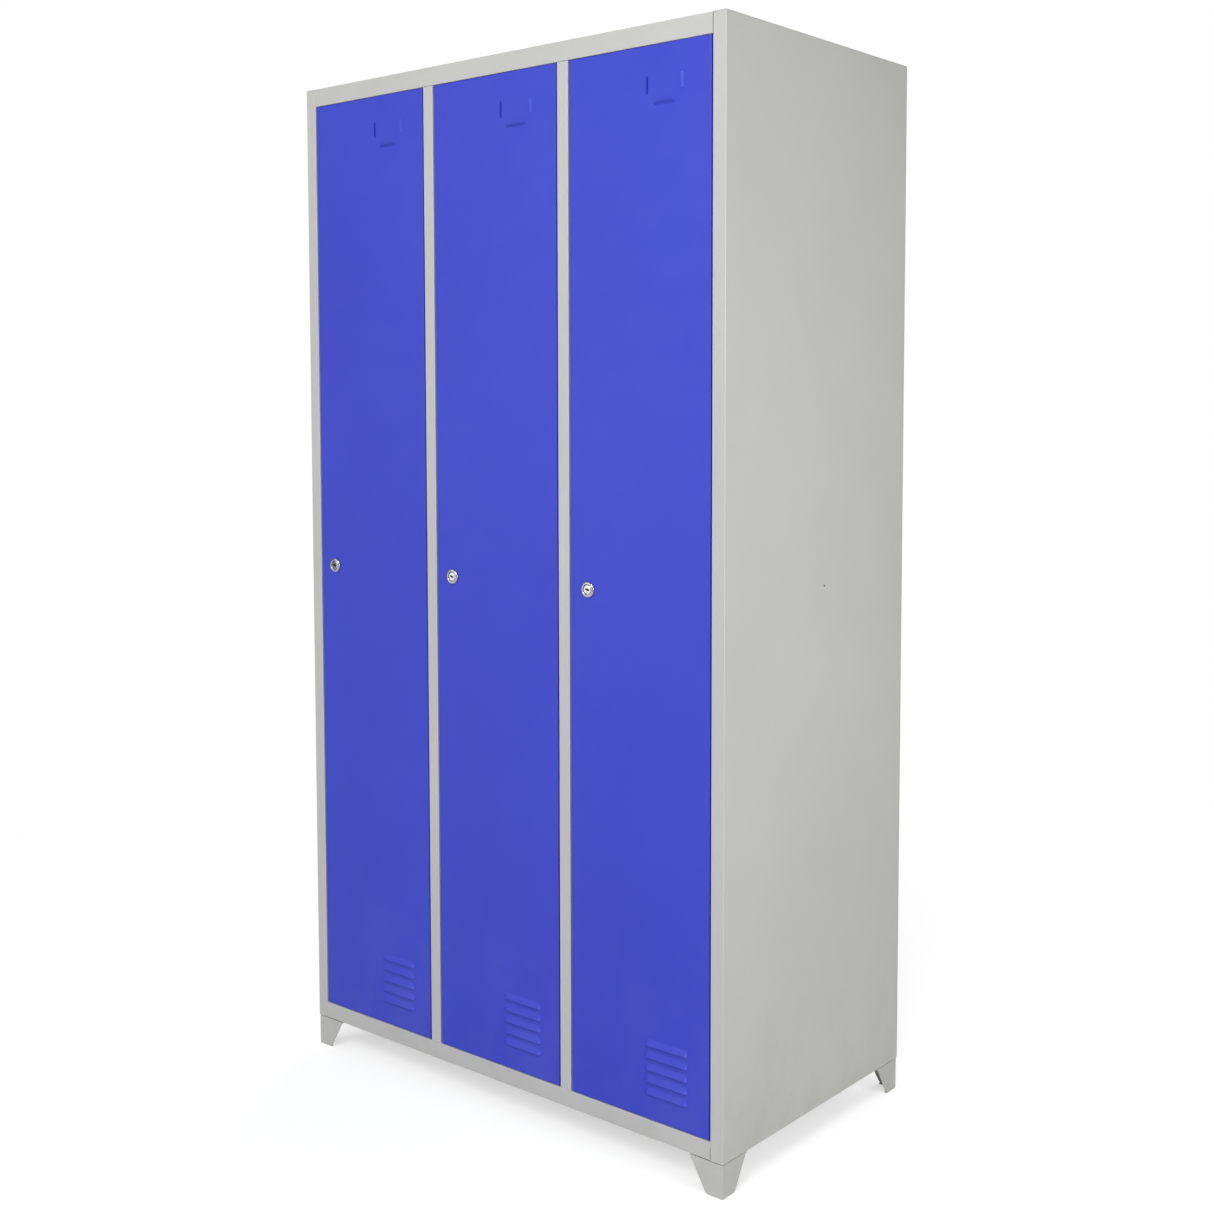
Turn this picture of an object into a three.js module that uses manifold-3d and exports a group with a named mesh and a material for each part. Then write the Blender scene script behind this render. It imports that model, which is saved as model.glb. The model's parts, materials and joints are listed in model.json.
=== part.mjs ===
// A steel clothes locker: three full-height compartments side by side, each with an inset pivot door,
// a cam lock, a hat shelf and a coat rail with two sliding hooks, on four pressed corner feet.
// Millimetres. +X runs to the right and +Y to the back as seen from the front, and +Z is up.
// The origin is on the floor, under the middle of the carcass. The doors face -Y.
import * as THREE from "three";
import { mergeVertices } from "three/addons/utils/BufferGeometryUtils.js";
import Module from "manifold-3d";

// ---------- driving dimensions ----------
const WIDTH = 900;
const DEPTH = 500;
const HEIGHT = 1700;
const FOOT_HEIGHT = 53;
const COMPARTMENTS = 3;

const SHEET = 0.8; // carcass steel
const DOOR_SHEET = 1; // door steel
const BEND = 1.2; // outer radius of a carcass fold
const FIT = 0.3; // gap kept between pieces that touch
const SEAM = 0.5; // visible joint between two frame members
const FOOT_JOINT = 1.6; // visible joint above a foot

const STILE = 23; // front face of a side panel
const MULLION = 22; // front face of a partition
const TOP_RAIL = 30;
const BOTTOM_RAIL = 28;
const RETURN_DEPTH = 20.5; // how far the frame folds back beside a door
const STOP_LIP = 12; // the fold that a door's lock edge closes on
const REAR_FLANGE = 15;
const BASE_FLANGE = 40; // the side panel's foot-mounting flange

const DOOR_GAP = 2.5; // beside a door
const GAP_ABOVE = 0.8;
const GAP_BELOW = 1.3;
const DOOR_THICKNESS = 18;
const DOOR_BEND = 1.2;
const DOOR_HEM = 10; // the return along a door's two long edges
const PIVOT_FROM_EDGE = 6;
const PIVOT_FROM_FACE = 5.5;

const SHELF_TOP = 1400;
const SHELF_LIP = 18;
const RAIL_HEIGHT = 1345;
const RAIL_SECTION = { high: 30, deep: 15, wall: 1.2 };
const HOOK_SPACING = 140;
const HOOK_THICKNESS = 8;

const LOCK_FROM_EDGE = 36;
const LOCK_HEIGHT = 874;
const LINK_HOLE = { radius: 2, fromFront: 262, height: 875 };

// ---------- derived places ----------
const FRONT = -DEPTH / 2;
const BACK = DEPTH / 2;
const RIGHT = WIDTH / 2;
const ROOF_UNDERSIDE = HEIGHT - SHEET;
const FLOOR_TOP = FOOT_HEIGHT + BOTTOM_RAIL;
const RAIL_UNDERSIDE = HEIGHT - TOP_RAIL;
const LIP_FACE = FRONT + RETURN_DEPTH; // the stop lip's front face
const REAR_FACE = BACK - SHEET - FIT; // where the rear flanges meet the back panel
const OPENING = (WIDTH - 2 * STILE - (COMPARTMENTS - 1) * MULLION) / COMPARTMENTS;
const PITCH = OPENING + MULLION;
const DOOR_WIDTH = OPENING - 2 * DOOR_GAP;
const DOOR_HEIGHT = RAIL_UNDERSIDE - FLOOR_TOP - GAP_ABOVE - GAP_BELOW;
const DOOR_BOTTOM = FLOOR_TOP + GAP_BELOW;
const range = (count) => [...Array(count).keys()];
const openingLeft = (i) => -RIGHT + STILE + i * PITCH;
const doorLeft = (i) => openingLeft(i) + DOOR_GAP;
const mullionMiddle = (i) => openingLeft(i) + OPENING + MULLION / 2;
const mullions = range(COMPARTMENTS - 1).map(mullionMiddle);
const bayLeft = (i) => (i === 0 ? -RIGHT + SHEET : mullions[i - 1] + SHEET / 2);
const bayRight = (i) => (i === COMPARTMENTS - 1 ? RIGHT - SHEET : mullions[i] - SHEET / 2);
const pivotX = (i) => doorLeft(i) + DOOR_WIDTH - PIVOT_FROM_EDGE;
const PIVOT_Y = FRONT + PIVOT_FROM_FACE;

// ---------- materials ----------
const paint = (color) => new THREE.MeshStandardMaterial({ color, roughness: 0.5, metalness: 0.1 });
const metal = (color, roughness) => new THREE.MeshStandardMaterial({ color, roughness, metalness: 1 });
const plain = (color) => new THREE.MeshStandardMaterial({ color, roughness: 0.8, metalness: 0 });
const MATERIALS = {
  greyPaint: paint(0xc6c6c1),
  bluePaint: paint(0x4650c6),
  chrome: metal(0xdadad8, 0.12),
  zincPlate: metal(0xb4b6b8, 0.35),
  blackPlastic: plain(0x222324),
  rubber: plain(0x1a1a1a),
};

// ---------- solids: joining and cutting ----------
const wasm = await Module();
wasm.setup();

// A closed three.js geometry as a solid that can be joined and cut.
function solid(geometry) {
  const source = geometry.index ? geometry.toNonIndexed() : geometry;
  const bare = new THREE.BufferGeometry();
  bare.setAttribute("position", source.getAttribute("position"));
  const merged = mergeVertices(bare, 1e-4);
  const vertProperties = merged.getAttribute("position").array;
  const triVerts = new Uint32Array(merged.index.array);
  return new wasm.Manifold(new wasm.Mesh({ numProp: 3, vertProperties, triVerts }));
}

const join = (first, ...others) => others.reduce((whole, next) => whole.add(next), first);
const cut = (first, ...tools) => tools.reduce((rest, tool) => rest.subtract(tool), first);

// The geometry of a finished solid, with flat facets.
function geometryOf(made) {
  const { vertProperties, triVerts } = made.getMesh();
  const geometry = new THREE.BufferGeometry();
  geometry.setAttribute("position", new THREE.BufferAttribute(vertProperties, 3));
  geometry.setIndex(new THREE.BufferAttribute(triVerts, 1));
  const faceted = geometry.toNonIndexed();
  faceted.computeVertexNormals();
  return faceted;
}

// ---------- solids: basic forms ----------
function box([x0, x1], [y0, y1], [z0, z1]) {
  const geometry = new THREE.BoxGeometry(x1 - x0, y1 - y0, z1 - z0);
  geometry.translate((x0 + x1) / 2, (y0 + y1) / 2, (z0 + z1) / 2);
  return solid(geometry);
}

// Turns a geometry drawn with its length along +Z so that its outline lies in the named plane:
// "xy" runs along +Z, "yz" along +X, and "xz" along -Y.
const PLANES = {
  xy: new THREE.Matrix4(),
  yz: new THREE.Matrix4().makeBasis(
    new THREE.Vector3(0, 1, 0), new THREE.Vector3(0, 0, 1), new THREE.Vector3(1, 0, 0)),
  xz: new THREE.Matrix4().makeBasis(
    new THREE.Vector3(1, 0, 0), new THREE.Vector3(0, 0, 1), new THREE.Vector3(0, -1, 0)),
};

// An outline in one of those planes, extruded from low to high along the plane's normal.
function prism(outline, plane, [low, high], curveSegments = 4) {
  const shape = outline instanceof THREE.Shape ? outline : shapeOf(outline);
  const geometry = new THREE.ExtrudeGeometry(shape, {
    depth: high - low,
    bevelEnabled: false,
    curveSegments,
  });
  geometry.applyMatrix4(PLANES[plane]);
  const along = { xy: [0, 0, low], yz: [low, 0, 0], xz: [0, high, 0] }[plane];
  return solid(geometry.translate(...along));
}

const shapeOf = (points) => new THREE.Shape(points.map(([u, v]) => new THREE.Vector2(u, v)));

// A turned piece. The profile is a closed ring of [radius, distance along the axis] points.
function turned(profile, axis, at, segments) {
  const ring = profile.map(([r, along]) => new THREE.Vector2(r, along));
  if (THREE.ShapeUtils.area(ring) < 0) ring.reverse();
  ring.push(ring[0].clone());
  const geometry = new THREE.LatheGeometry(ring, segments);
  if (axis === "x") geometry.rotateZ(-Math.PI / 2);
  if (axis === "z") geometry.rotateX(Math.PI / 2);
  return solid(geometry.translate(...at));
}

const rod = (radius, [low, high], axis, at, segments = 12) =>
  turned([[0, low], [radius, low], [radius, high], [0, high]], axis, at, segments);

// The cross-section of a folded sheet. The path runs along one face of the sheet, and the metal lies on
// its left (side 1) or right (side -1). Each fold keeps the outer radius BEND.
function foldedSection(path, side, thickness = SHEET, outerRadius = BEND, steps = 3) {
  const points = path.map(([u, v]) => new THREE.Vector2(u, v));
  const direction = (i) => points[i + 1].clone().sub(points[i]).normalize();
  const leftOf = (d) => new THREE.Vector2(-d.y, d.x);
  const face = [];
  const other = [];
  const addStraight = (point, d) => {
    face.push(point.clone());
    other.push(point.clone().addScaledVector(leftOf(d), side * thickness));
  };
  addStraight(points[0], direction(0));
  for (let i = 1; i < points.length - 1; i += 1) {
    const before = direction(i - 1);
    const after = direction(i);
    const turn = Math.sign(before.cross(after));
    const faceRadius = turn === side ? outerRadius : outerRadius - thickness;
    const otherRadius = turn === side ? outerRadius - thickness : outerRadius;
    const start = points[i].clone().addScaledVector(before, -faceRadius);
    const centre = start.clone().addScaledVector(leftOf(before), turn * faceRadius);
    range(steps + 1).forEach((step) => {
      const angle = (turn * step * Math.PI) / (2 * steps);
      const spoke = leftOf(before).multiplyScalar(-turn).rotateAround(new THREE.Vector2(), angle);
      face.push(centre.clone().addScaledVector(spoke, faceRadius));
      other.push(centre.clone().addScaledVector(spoke, otherRadius));
    });
  }
  addStraight(points.at(-1), direction(points.length - 2));
  return [...face, ...other.reverse()].map((p) => [p.x, p.y]);
}

const mirrored = (section) => section.map(([u, v]) => [-u, v]);

// ---------- carcass ----------
const ALL_DEPTH = [FRONT + RETURN_DEPTH + 1.5, REAR_FACE - 2];

// One folded side: rear flange, web, front stile and the return beside the door. The left side also has
// the lip that the first door closes on, notched clear of the floor and the top rail.
function sidePanel(side) {
  const hasLip = side < 0;
  const path = [
    [RIGHT - REAR_FLANGE, REAR_FACE],
    [RIGHT, REAR_FACE],
    [RIGHT, FRONT],
    [RIGHT - STILE, FRONT],
    [RIGHT - STILE, LIP_FACE],
  ];
  if (hasLip) path.push([RIGHT - STILE - STOP_LIP, LIP_FACE]);
  const rightHand = foldedSection(path, -1);
  const section = side > 0 ? rightHand : mirrored(rightHand);
  const top = ROOF_UNDERSIDE - FIT;
  const shell = prism(section, "xy", [FOOT_HEIGHT, top]);
  const across = (from, to) => (side > 0 ? [from, to] : [-to, -from]);
  const flangeAcross = across(RIGHT - BASE_FLANGE, RIGHT - SHEET / 2);
  const baseFlange = box(flangeAcross, ALL_DEPTH, [FOOT_HEIGHT, FOOT_HEIGHT + SHEET]);
  const lipAcross = across(RIGHT - STILE - STOP_LIP - 1, RIGHT - STILE + SHEET + FIT);
  const lipDepth = [LIP_FACE - FIT, LIP_FACE + SHEET + FIT];
  const lipNotches = [
    box(lipAcross, lipDepth, [FOOT_HEIGHT - 1, FLOOR_TOP + FIT]),
    box(lipAcross, lipDepth, [RAIL_UNDERSIDE - FIT, HEIGHT]),
  ];
  const holeAt = [side * RIGHT, FRONT + LINK_HOLE.fromFront, LINK_HOLE.height];
  const linkHole = rod(LINK_HOLE.radius, [-2, 2], "x", holeAt);
  const boltHoles = [-1, 1].map((end) => boltHole(side, end));
  return cut(join(shell, baseFlange), linkHole, ...boltHoles, ...(hasLip ? lipNotches : []));
}

// One folded partition: rear flange, central web, and at the front a closed box that is the mullion
// between two doors, ending in the lip that the door on its right closes on.
function partition(middle) {
  const halfSheet = SHEET / 2;
  const path = [
    [middle - halfSheet + REAR_FLANGE, REAR_FACE],
    [middle - halfSheet, REAR_FACE],
    [middle - halfSheet, LIP_FACE + SHEET],
    [middle - MULLION / 2, LIP_FACE + SHEET],
    [middle - MULLION / 2, FRONT],
    [middle + MULLION / 2, FRONT],
    [middle + MULLION / 2, LIP_FACE],
    [middle + MULLION / 2 + STOP_LIP, LIP_FACE],
  ];
  const web = prism(foldedSection(path, 1), "xy", [FLOOR_TOP + FIT, ROOF_UNDERSIDE - 2 * FIT - SHEET]);
  const railNotch = box(
    [middle - MULLION, middle + MULLION + STOP_LIP],
    [FRONT - 1, LIP_FACE + SHEET / 2],
    [RAIL_UNDERSIDE - SEAM, HEIGHT],
  );
  return cut(web, railNotch);
}

const BETWEEN_STILES = [-RIGHT + STILE + SEAM, RIGHT - STILE - SEAM];
const FOLD_ROOM = 2; // width that a horizontal sheet leaves for its folded front edge

// The roof lies over the sides and folds down between the stiles as the top rail.
function roofPanel() {
  const railPath = [
    [FRONT + 10, HEIGHT],
    [FRONT, HEIGHT],
    [FRONT, RAIL_UNDERSIDE],
    [LIP_FACE - FIT, RAIL_UNDERSIDE],
    [LIP_FACE - FIT, RAIL_UNDERSIDE + 10],
  ];
  const thickness = [ROOF_UNDERSIDE, HEIGHT];
  const sheet = box([-RIGHT, RIGHT], [FRONT + FOLD_ROOM, BACK], thickness);
  const ears = [-1, 1].map((side) => {
    const across = side > 0 ? [RIGHT - STILE - SEAM, RIGHT] : [-RIGHT, -RIGHT + STILE + SEAM];
    return box(across, [FRONT, FRONT + FOLD_ROOM], thickness);
  });
  const rail = prism(foldedSection(railPath, 1), "yz", BETWEEN_STILES);
  const pinHoles = range(COMPARTMENTS).map((i) => pinHole(i, RAIL_UNDERSIDE));
  return cut(join(sheet, ...ears, rail, ...sideFlanges(ROOF_UNDERSIDE)), ...pinHoles);
}

// The floor lies between the sides and folds down between the stiles as the bottom rail.
function floorPanel() {
  const railPath = [
    [FRONT + 10, FLOOR_TOP],
    [FRONT, FLOOR_TOP],
    [FRONT, FOOT_HEIGHT],
    [FRONT + 15, FOOT_HEIGHT],
  ];
  const half = RIGHT - SHEET - FIT;
  const neck = RIGHT - STILE - SEAM;
  const shoulder = LIP_FACE + FIT;
  const rear = REAR_FACE - SHEET - FIT;
  const plan = [[-neck, FRONT + FOLD_ROOM], [neck, FRONT + FOLD_ROOM], [neck, shoulder], [half, shoulder]];
  plan.push([half, rear], [-half, rear], [-half, shoulder], [-neck, shoulder]);
  const sheet = prism(plan, "xy", [FLOOR_TOP - SHEET, FLOOR_TOP]);
  const rail = prism(foldedSection(railPath, 1), "yz", BETWEEN_STILES);
  const pinHoles = range(COMPARTMENTS).map((i) => pinHole(i, FLOOR_TOP - SHEET));
  return cut(join(sheet, rail, ...sideFlanges(FLOOR_TOP - SHEET)), ...pinHoles);
}

// The two flanges that turn down from a horizontal sheet and are riveted to the side panels.
function sideFlanges(underside) {
  const outer = RIGHT - SHEET - 2 * FIT;
  return [-1, 1].map((side) => {
    const across = side > 0 ? [outer - SHEET, outer] : [-outer, -outer + SHEET];
    return box(across, ALL_DEPTH, [underside - REAR_FLANGE, underside + SHEET / 2]);
  });
}

// The back covers the rear flanges, with its top and bottom edges folded forward.
function backPanel() {
  const path = [
    [BACK - 14, ROOF_UNDERSIDE - FIT],
    [BACK, ROOF_UNDERSIDE - FIT],
    [BACK, FOOT_HEIGHT],
    [BACK - 14, FOOT_HEIGHT],
  ];
  const narrow = RIGHT - BASE_FLANGE - 2;
  const folded = prism(foldedSection(path, -1), "yz", [-narrow, narrow]);
  const full = box([-RIGHT, RIGHT], [BACK - SHEET, BACK], [FOOT_HEIGHT + BEND, ROOF_UNDERSIDE - FIT - BEND]);
  return join(folded, full);
}

// ---------- inside a compartment ----------
// The hat shelf, with all four edges folded down and the front edge folded back again.
function hatShelf(i) {
  const across = [bayLeft(i) + FIT, bayRight(i) - FIT];
  const front = LIP_FACE + 9.5;
  const rear = REAR_FACE - SHEET - FIT;
  const path = [
    [rear, SHELF_TOP - SHELF_LIP],
    [rear, SHELF_TOP],
    [front, SHELF_TOP],
    [front, SHELF_TOP - SHELF_LIP],
    [front + STOP_LIP, SHELF_TOP - SHELF_LIP],
  ];
  const tray = prism(foldedSection(path, 1), "yz", across);
  const edge = [front + STOP_LIP, rear - BEND];
  const down = [SHELF_TOP - SHELF_LIP, SHELF_TOP - SHEET / 2];
  const leftEdge = box([across[0], across[0] + SHEET], edge, down);
  const rightEdge = box([across[1] - SHEET, across[1]], edge, down);
  return join(tray, leftEdge, rightEdge);
}

// An upright oval in the YZ plane, as a shape.
function oval(high, deep) {
  const radius = deep / 2;
  const shift = high / 2 - radius;
  const shape = new THREE.Shape();
  shape.absarc(0, shift, radius, 0, Math.PI, false);
  shape.absarc(0, -shift, radius, Math.PI, 2 * Math.PI, false);
  return shape;
}

// The oval coat rail, with a flange at each end that is riveted to the compartment's walls.
function coatRail(i) {
  const { high, deep, wall } = RAIL_SECTION;
  const across = [bayLeft(i) + FIT, bayRight(i) - FIT];
  const flangeThickness = 1.5;
  const tube = prism(oval(high, deep), "yz", across);
  const leftFlange = prism(oval(high + 26, deep + 12), "yz", [across[0], across[0] + flangeThickness]);
  const rightFlange = prism(oval(high + 26, deep + 12), "yz", [across[1] - flangeThickness, across[1]]);
  const hollow = prism(oval(high - 2 * wall, deep - 2 * wall), "yz", [across[0] - 1, across[1] + 1]);
  return cut(join(tube, leftFlange, rightFlange), hollow);
}

// A double coat hook: a flat moulding with a collar round the rail, a stem, and an anchor-shaped foot.
function coatHook() {
  const collarWall = 3;
  const slack = 0.5;
  const collarRadius = RAIL_SECTION.deep / 2 + slack + collarWall;
  const collarShift = (RAIL_SECTION.high - RAIL_SECTION.deep) / 2;
  const stem = 5; // half width
  const anchor = { middle: -42, inner: 19, outer: 26 };
  const tip = (anchor.outer - anchor.inner) / 2;
  const tipAt = (anchor.outer + anchor.inner) / 2;
  const stemAngle = Math.asin(stem / anchor.inner);
  const collarAngle = Math.asin(stem / collarRadius);
  const shape = new THREE.Shape();
  shape.absarc(0, -collarShift, collarRadius, 1.5 * Math.PI + collarAngle, 2 * Math.PI, false);
  shape.absarc(0, collarShift, collarRadius, 0, Math.PI, false);
  shape.absarc(0, -collarShift, collarRadius, Math.PI, 1.5 * Math.PI - collarAngle, false);
  shape.absarc(0, anchor.middle, anchor.inner, 1.5 * Math.PI - stemAngle, Math.PI, true);
  shape.absarc(-tipAt, anchor.middle, tip, 0, Math.PI, false);
  shape.absarc(0, anchor.middle, anchor.outer, Math.PI, 2 * Math.PI, false);
  shape.absarc(tipAt, anchor.middle, tip, 0, Math.PI, false);
  shape.absarc(0, anchor.middle, anchor.inner, 2 * Math.PI, 1.5 * Math.PI + stemAngle, true);
  shape.holes.push(oval(RAIL_SECTION.high + 2 * slack, RAIL_SECTION.deep + 2 * slack));
  return prism(shape, "yz", [-HOOK_THICKNESS / 2, HOOK_THICKNESS / 2]);
}

// ---------- feet ----------
const FOOT = { inset: 1, wall: 1.5, rim: 5, top: 60, knee: 35, kneeHeight: 8, toe: 29 };
const FOOT_BOLT = { radius: 3, hole: 3.5, fromCorner: 29 };
const FOOT_TOP = FOOT_HEIGHT - FOOT_JOINT;

function boltHole(side, end) {
  const at = [side * (RIGHT - FOOT_BOLT.fromCorner), end * (BACK - FOOT_BOLT.fromCorner), FOOT_HEIGHT];
  return rod(FOOT_BOLT.hole, [-2, 2], "z", at);
}

// One tapering face of a foot, as an outline of [distance from the corner, height].
function footOutline(margin) {
  const sole = margin;
  return [
    [0, sole],
    [FOOT.toe - margin, sole],
    [FOOT.knee - margin, FOOT.kneeHeight],
    [FOOT.top - margin, FOOT_TOP + (margin ? 1 : 0)],
    [0, FOOT_TOP + (margin ? 1 : 0)],
  ];
}

// A pressed corner foot: two tapering faces with rims turned in, and a plate on top with a weld nut.
// It is drawn with its outer corner at the origin, running along +X and +Y.
function cornerFoot() {
  const faceAlongX = (outline, depth) => prism(outline, "xz", depth);
  const faceAlongY = (outline, depth) => prism(outline, "yz", depth);
  const outer = footOutline(0);
  const inner = footOutline(FOOT.wall);
  const rims = join(faceAlongX(outer, [0, FOOT.rim]), faceAlongY(outer, [0, FOOT.rim]));
  const hollow = join(faceAlongX(inner, [FOOT.wall, FOOT.top]), faceAlongY(inner, [FOOT.wall, FOOT.top]));
  const corner = box([-1, FOOT.wall], [-1, FOOT.top], [-1, HEIGHT]);
  const cornerAcross = box([-1, FOOT.top], [-1, FOOT.wall], [-1, HEIGHT]);
  const pressed = cut(rims, cut(hollow, corner, cornerAcross));
  const plateOutline = [[0, 0], [FOOT.top, 0], [FOOT.top, 22], [22, FOOT.top], [0, FOOT.top]];
  const plate = prism(plateOutline, "xy", [FOOT_TOP - FOOT.wall, FOOT_TOP]);
  const boltAt = FOOT_BOLT.fromCorner - FOOT.inset;
  const nut = rod(6, [FOOT_TOP - 7, FOOT_TOP - 1], "z", [boltAt, boltAt, 0], 6);
  const bore = rod(FOOT_BOLT.hole, [FOOT_TOP - 10, FOOT_TOP + 1], "z", [boltAt, boltAt, 0]);
  return cut(join(pressed, plate, nut), bore);
}

// The hexagon bolt that holds a foot, with its head above the base flange.
function footBolt() {
  const headBottom = FOOT_HEIGHT + SHEET + FIT;
  const head = rod(5.6, [headBottom, headBottom + 4], "z", [0, 0, 0], 6);
  const washer = rod(7, [headBottom, headBottom + 1], "z", [0, 0, 0], 16);
  const shank = rod(FOOT_BOLT.radius, [FOOT_TOP - 11, headBottom + 1], "z", [0, 0, 0]);
  return join(washer, head, shank);
}

// ---------- doors ----------
// Door pieces are drawn in the door's own frame: the origin is the lower left corner of its front face.
const LOUVRE = { count: 5, pitch: 18.6, length: 80, reach: 10.5, rise: 4.6, fromRight: 78, lowest: 40 };
const CARD = { fromRight: 83, halfMouth: 31, sideTop: DOOR_HEIGHT - 42, base: DOOR_HEIGHT - 82 };
const SIDE_TAB = { length: 28, reach: 5, rise: 1.8 };
const BASE_TAB = { length: 41, reach: 5, rise: 3.6 };

// A pressed hood on the door's face: a slit whose one edge is pushed out in a hollow curve. It is drawn at
// the origin with its mouth facing down, then turned about Y and moved. It gives the metal to add and to
// take away.
function hood({ length, reach, rise }, turn, at) {
  const back = DOOR_SHEET + 0.5;
  const mouth = -0.01; // just past the slit, so that the hollow opens
  const curve = range(4).map((i) => [-rise * (1 - i / 4) ** 1.5, (i * reach) / 4]);
  const outside = [...curve.toReversed(), [0.2, 0], [0.2, reach]];
  const under = curve.slice(1, 3).map(([out, along]) => [DOOR_SHEET + out, along]);
  const inside = [[DOOR_SHEET - rise, mouth], ...under, [back, 0.8 * reach], [back, mouth]];
  const turnedTo = (outline, half) => {
    const geometry = new THREE.ExtrudeGeometry(shapeOf(outline), { depth: 2 * half, bevelEnabled: false });
    geometry.applyMatrix4(PLANES.yz);
    geometry.translate(-half, 0, 0);
    geometry.rotateY(turn);
    return solid(geometry.translate(...at));
  };
  return { metal: turnedTo(outside, length / 2), hollow: turnedTo(inside, length / 2 - DOOR_SHEET) };
}

// The five ventilation louvres, and the three tabs that hold a name card, slid in from above.
function doorHoods() {
  const louvreX = DOOR_WIDTH - LOUVRE.fromRight;
  const louvres = range(LOUVRE.count).map((i) =>
    hood(LOUVRE, 0, [louvreX, 0, LOUVRE.lowest + i * LOUVRE.pitch]));
  const cardX = DOOR_WIDTH - CARD.fromRight;
  const sideZ = CARD.sideTop - SIDE_TAB.length / 2;
  return [
    ...louvres,
    hood(SIDE_TAB, -Math.PI / 2, [cardX - CARD.halfMouth, 0, sideZ]),
    hood(SIDE_TAB, Math.PI / 2, [cardX + CARD.halfMouth, 0, sideZ]),
    hood(BASE_TAB, Math.PI, [cardX, 0, CARD.base]),
  ];
}

// A pan-shaped door: rounded front edges, four flanges, and a hem turned in along each long edge.
function doorPanel() {
  const outline = [[DOOR_BEND, DOOR_BEND], [DOOR_WIDTH - DOOR_BEND, DOOR_BEND]];
  outline.push([DOOR_WIDTH - DOOR_BEND, DOOR_HEIGHT - DOOR_BEND], [DOOR_BEND, DOOR_HEIGHT - DOOR_BEND]);
  const pillow = new THREE.ExtrudeGeometry(shapeOf(outline), {
    depth: DOOR_THICKNESS,
    bevelThickness: DOOR_BEND,
    bevelSize: DOOR_BEND,
    bevelSegments: 3,
  });
  pillow.applyMatrix4(PLANES.xz);
  pillow.translate(0, DOOR_THICKNESS + DOOR_BEND, 0);
  const whole = solid(pillow);
  const t = DOOR_SHEET;
  const tall = [t, DOOR_HEIGHT - t];
  const behind = box([-1, DOOR_WIDTH + 1], [DOOR_THICKNESS, 3 * DOOR_THICKNESS], [-1, DOOR_HEIGHT + 1]);
  const cavity = box([t, DOOR_WIDTH - t], [t, DOOR_THICKNESS - t], tall);
  const mouth = box([DOOR_HEM, DOOR_WIDTH - DOOR_HEM], [t, DOOR_THICKNESS + 1], tall);
  const pan = cut(whole, behind, cavity, mouth);
  const hoods = doorHoods();
  const lockHole = rod(LOCK.hole, [-2, 3], "y", [LOCK_FROM_EDGE, 0, LOCK_HEIGHT - DOOR_BOTTOM], 20);
  const pinHoleAt = [DOOR_WIDTH - PIVOT_FROM_EDGE, PIVOT_FROM_FACE, 0];
  const pinHoles = rod(PIN.hole, [-5, DOOR_HEIGHT + 5], "z", pinHoleAt);
  const raised = join(pan, ...hoods.map((h) => h.metal));
  return cut(raised, ...hoods.map((h) => h.hollow), lockHole, pinHoles);
}

// The hat-section stiffener that stands behind the door's skin, between the lock and the louvres.
function doorStiffener() {
  const middle = 86;
  const flange = 10;
  const half = 14;
  const skin = DOOR_SHEET + FIT;
  const crown = DOOR_THICKNESS - 1.6;
  const path = [
    [middle - half - flange, skin],
    [middle - half, skin],
    [middle - half, crown],
    [middle + half, crown],
    [middle + half, skin],
    [middle + half + flange, skin],
  ];
  const section = foldedSection(path, 1);
  return prism(section, "xy", [DOOR_SHEET + 1.3, DOOR_HEIGHT - DOOR_SHEET - 1.3]);
}

// ---------- hinge pins and door buffers ----------
const PIN = { radius: 2.5, hole: 3, head: 4, shoulder: 4, reach: 14 };

function pinHole(i, z) {
  return rod(PIN.hole, [z - 3, z + 3], "z", [pivotX(i), PIVOT_Y, 0]);
}

// A headed pivot pin along +Z. The head is behind the frame's sheet, and the pin runs into the door.
function hingePin(shoulderHeight) {
  const throughSheet = FIT + SHEET + FIT;
  const profile = [
    [0, -1.5],
    [PIN.head, -1.5],
    [PIN.head, 0],
    [PIN.radius, 0],
  ];
  if (shoulderHeight) {
    profile.push([PIN.radius, throughSheet], [PIN.shoulder, throughSheet]);
    profile.push([PIN.shoulder, throughSheet + shoulderHeight], [PIN.radius, throughSheet + shoulderHeight]);
  }
  profile.push([PIN.radius, PIN.reach], [0, PIN.reach + 1]);
  return turned(profile, "z", [0, 0, 0], 12);
}

// A rubber button on the stop lip. The gap to the door is the fit between closed pieces.
function doorBuffer() {
  const thick = RETURN_DEPTH - DOOR_THICKNESS - 2 * FIT;
  return turned([[0, -thick], [3.6, -thick], [4.4, -thick + 0.7], [4.8, 0], [0, 0]], "y", [0, 0, 0], 16);
}

// ---------- locks ----------
// Lock pieces are drawn on the lock's axis, with y = 0 on the door's front face and +Y into the locker.
const LOCK = { hole: 9.4, thread: 9, bezel: 12.5, proud: 3.8, length: 21, bore: 6.3, plug: 6, tail: 3.9 };
const CAM = { front: RETURN_DEPTH + SHEET + 1.5, thickness: 2, width: 15, length: 33, corner: 3 };

// The chromed housing: a dished bezel on a threaded barrel.
function lockBody() {
  const profile = [
    [LOCK.bore, LOCK.length],
    [LOCK.thread, LOCK.length],
    [LOCK.thread, -FIT],
    [LOCK.bezel, -FIT],
    [LOCK.bezel, -1.2],
    [11.6, -2.9],
    [10.2, -LOCK.proud],
    [9.2, -LOCK.proud],
    [8, -2.4],
    [8, -0.4],
    [LOCK.bore, -0.4],
  ];
  return turned(profile, "y", [0, 0, 0], 24);
}

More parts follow.
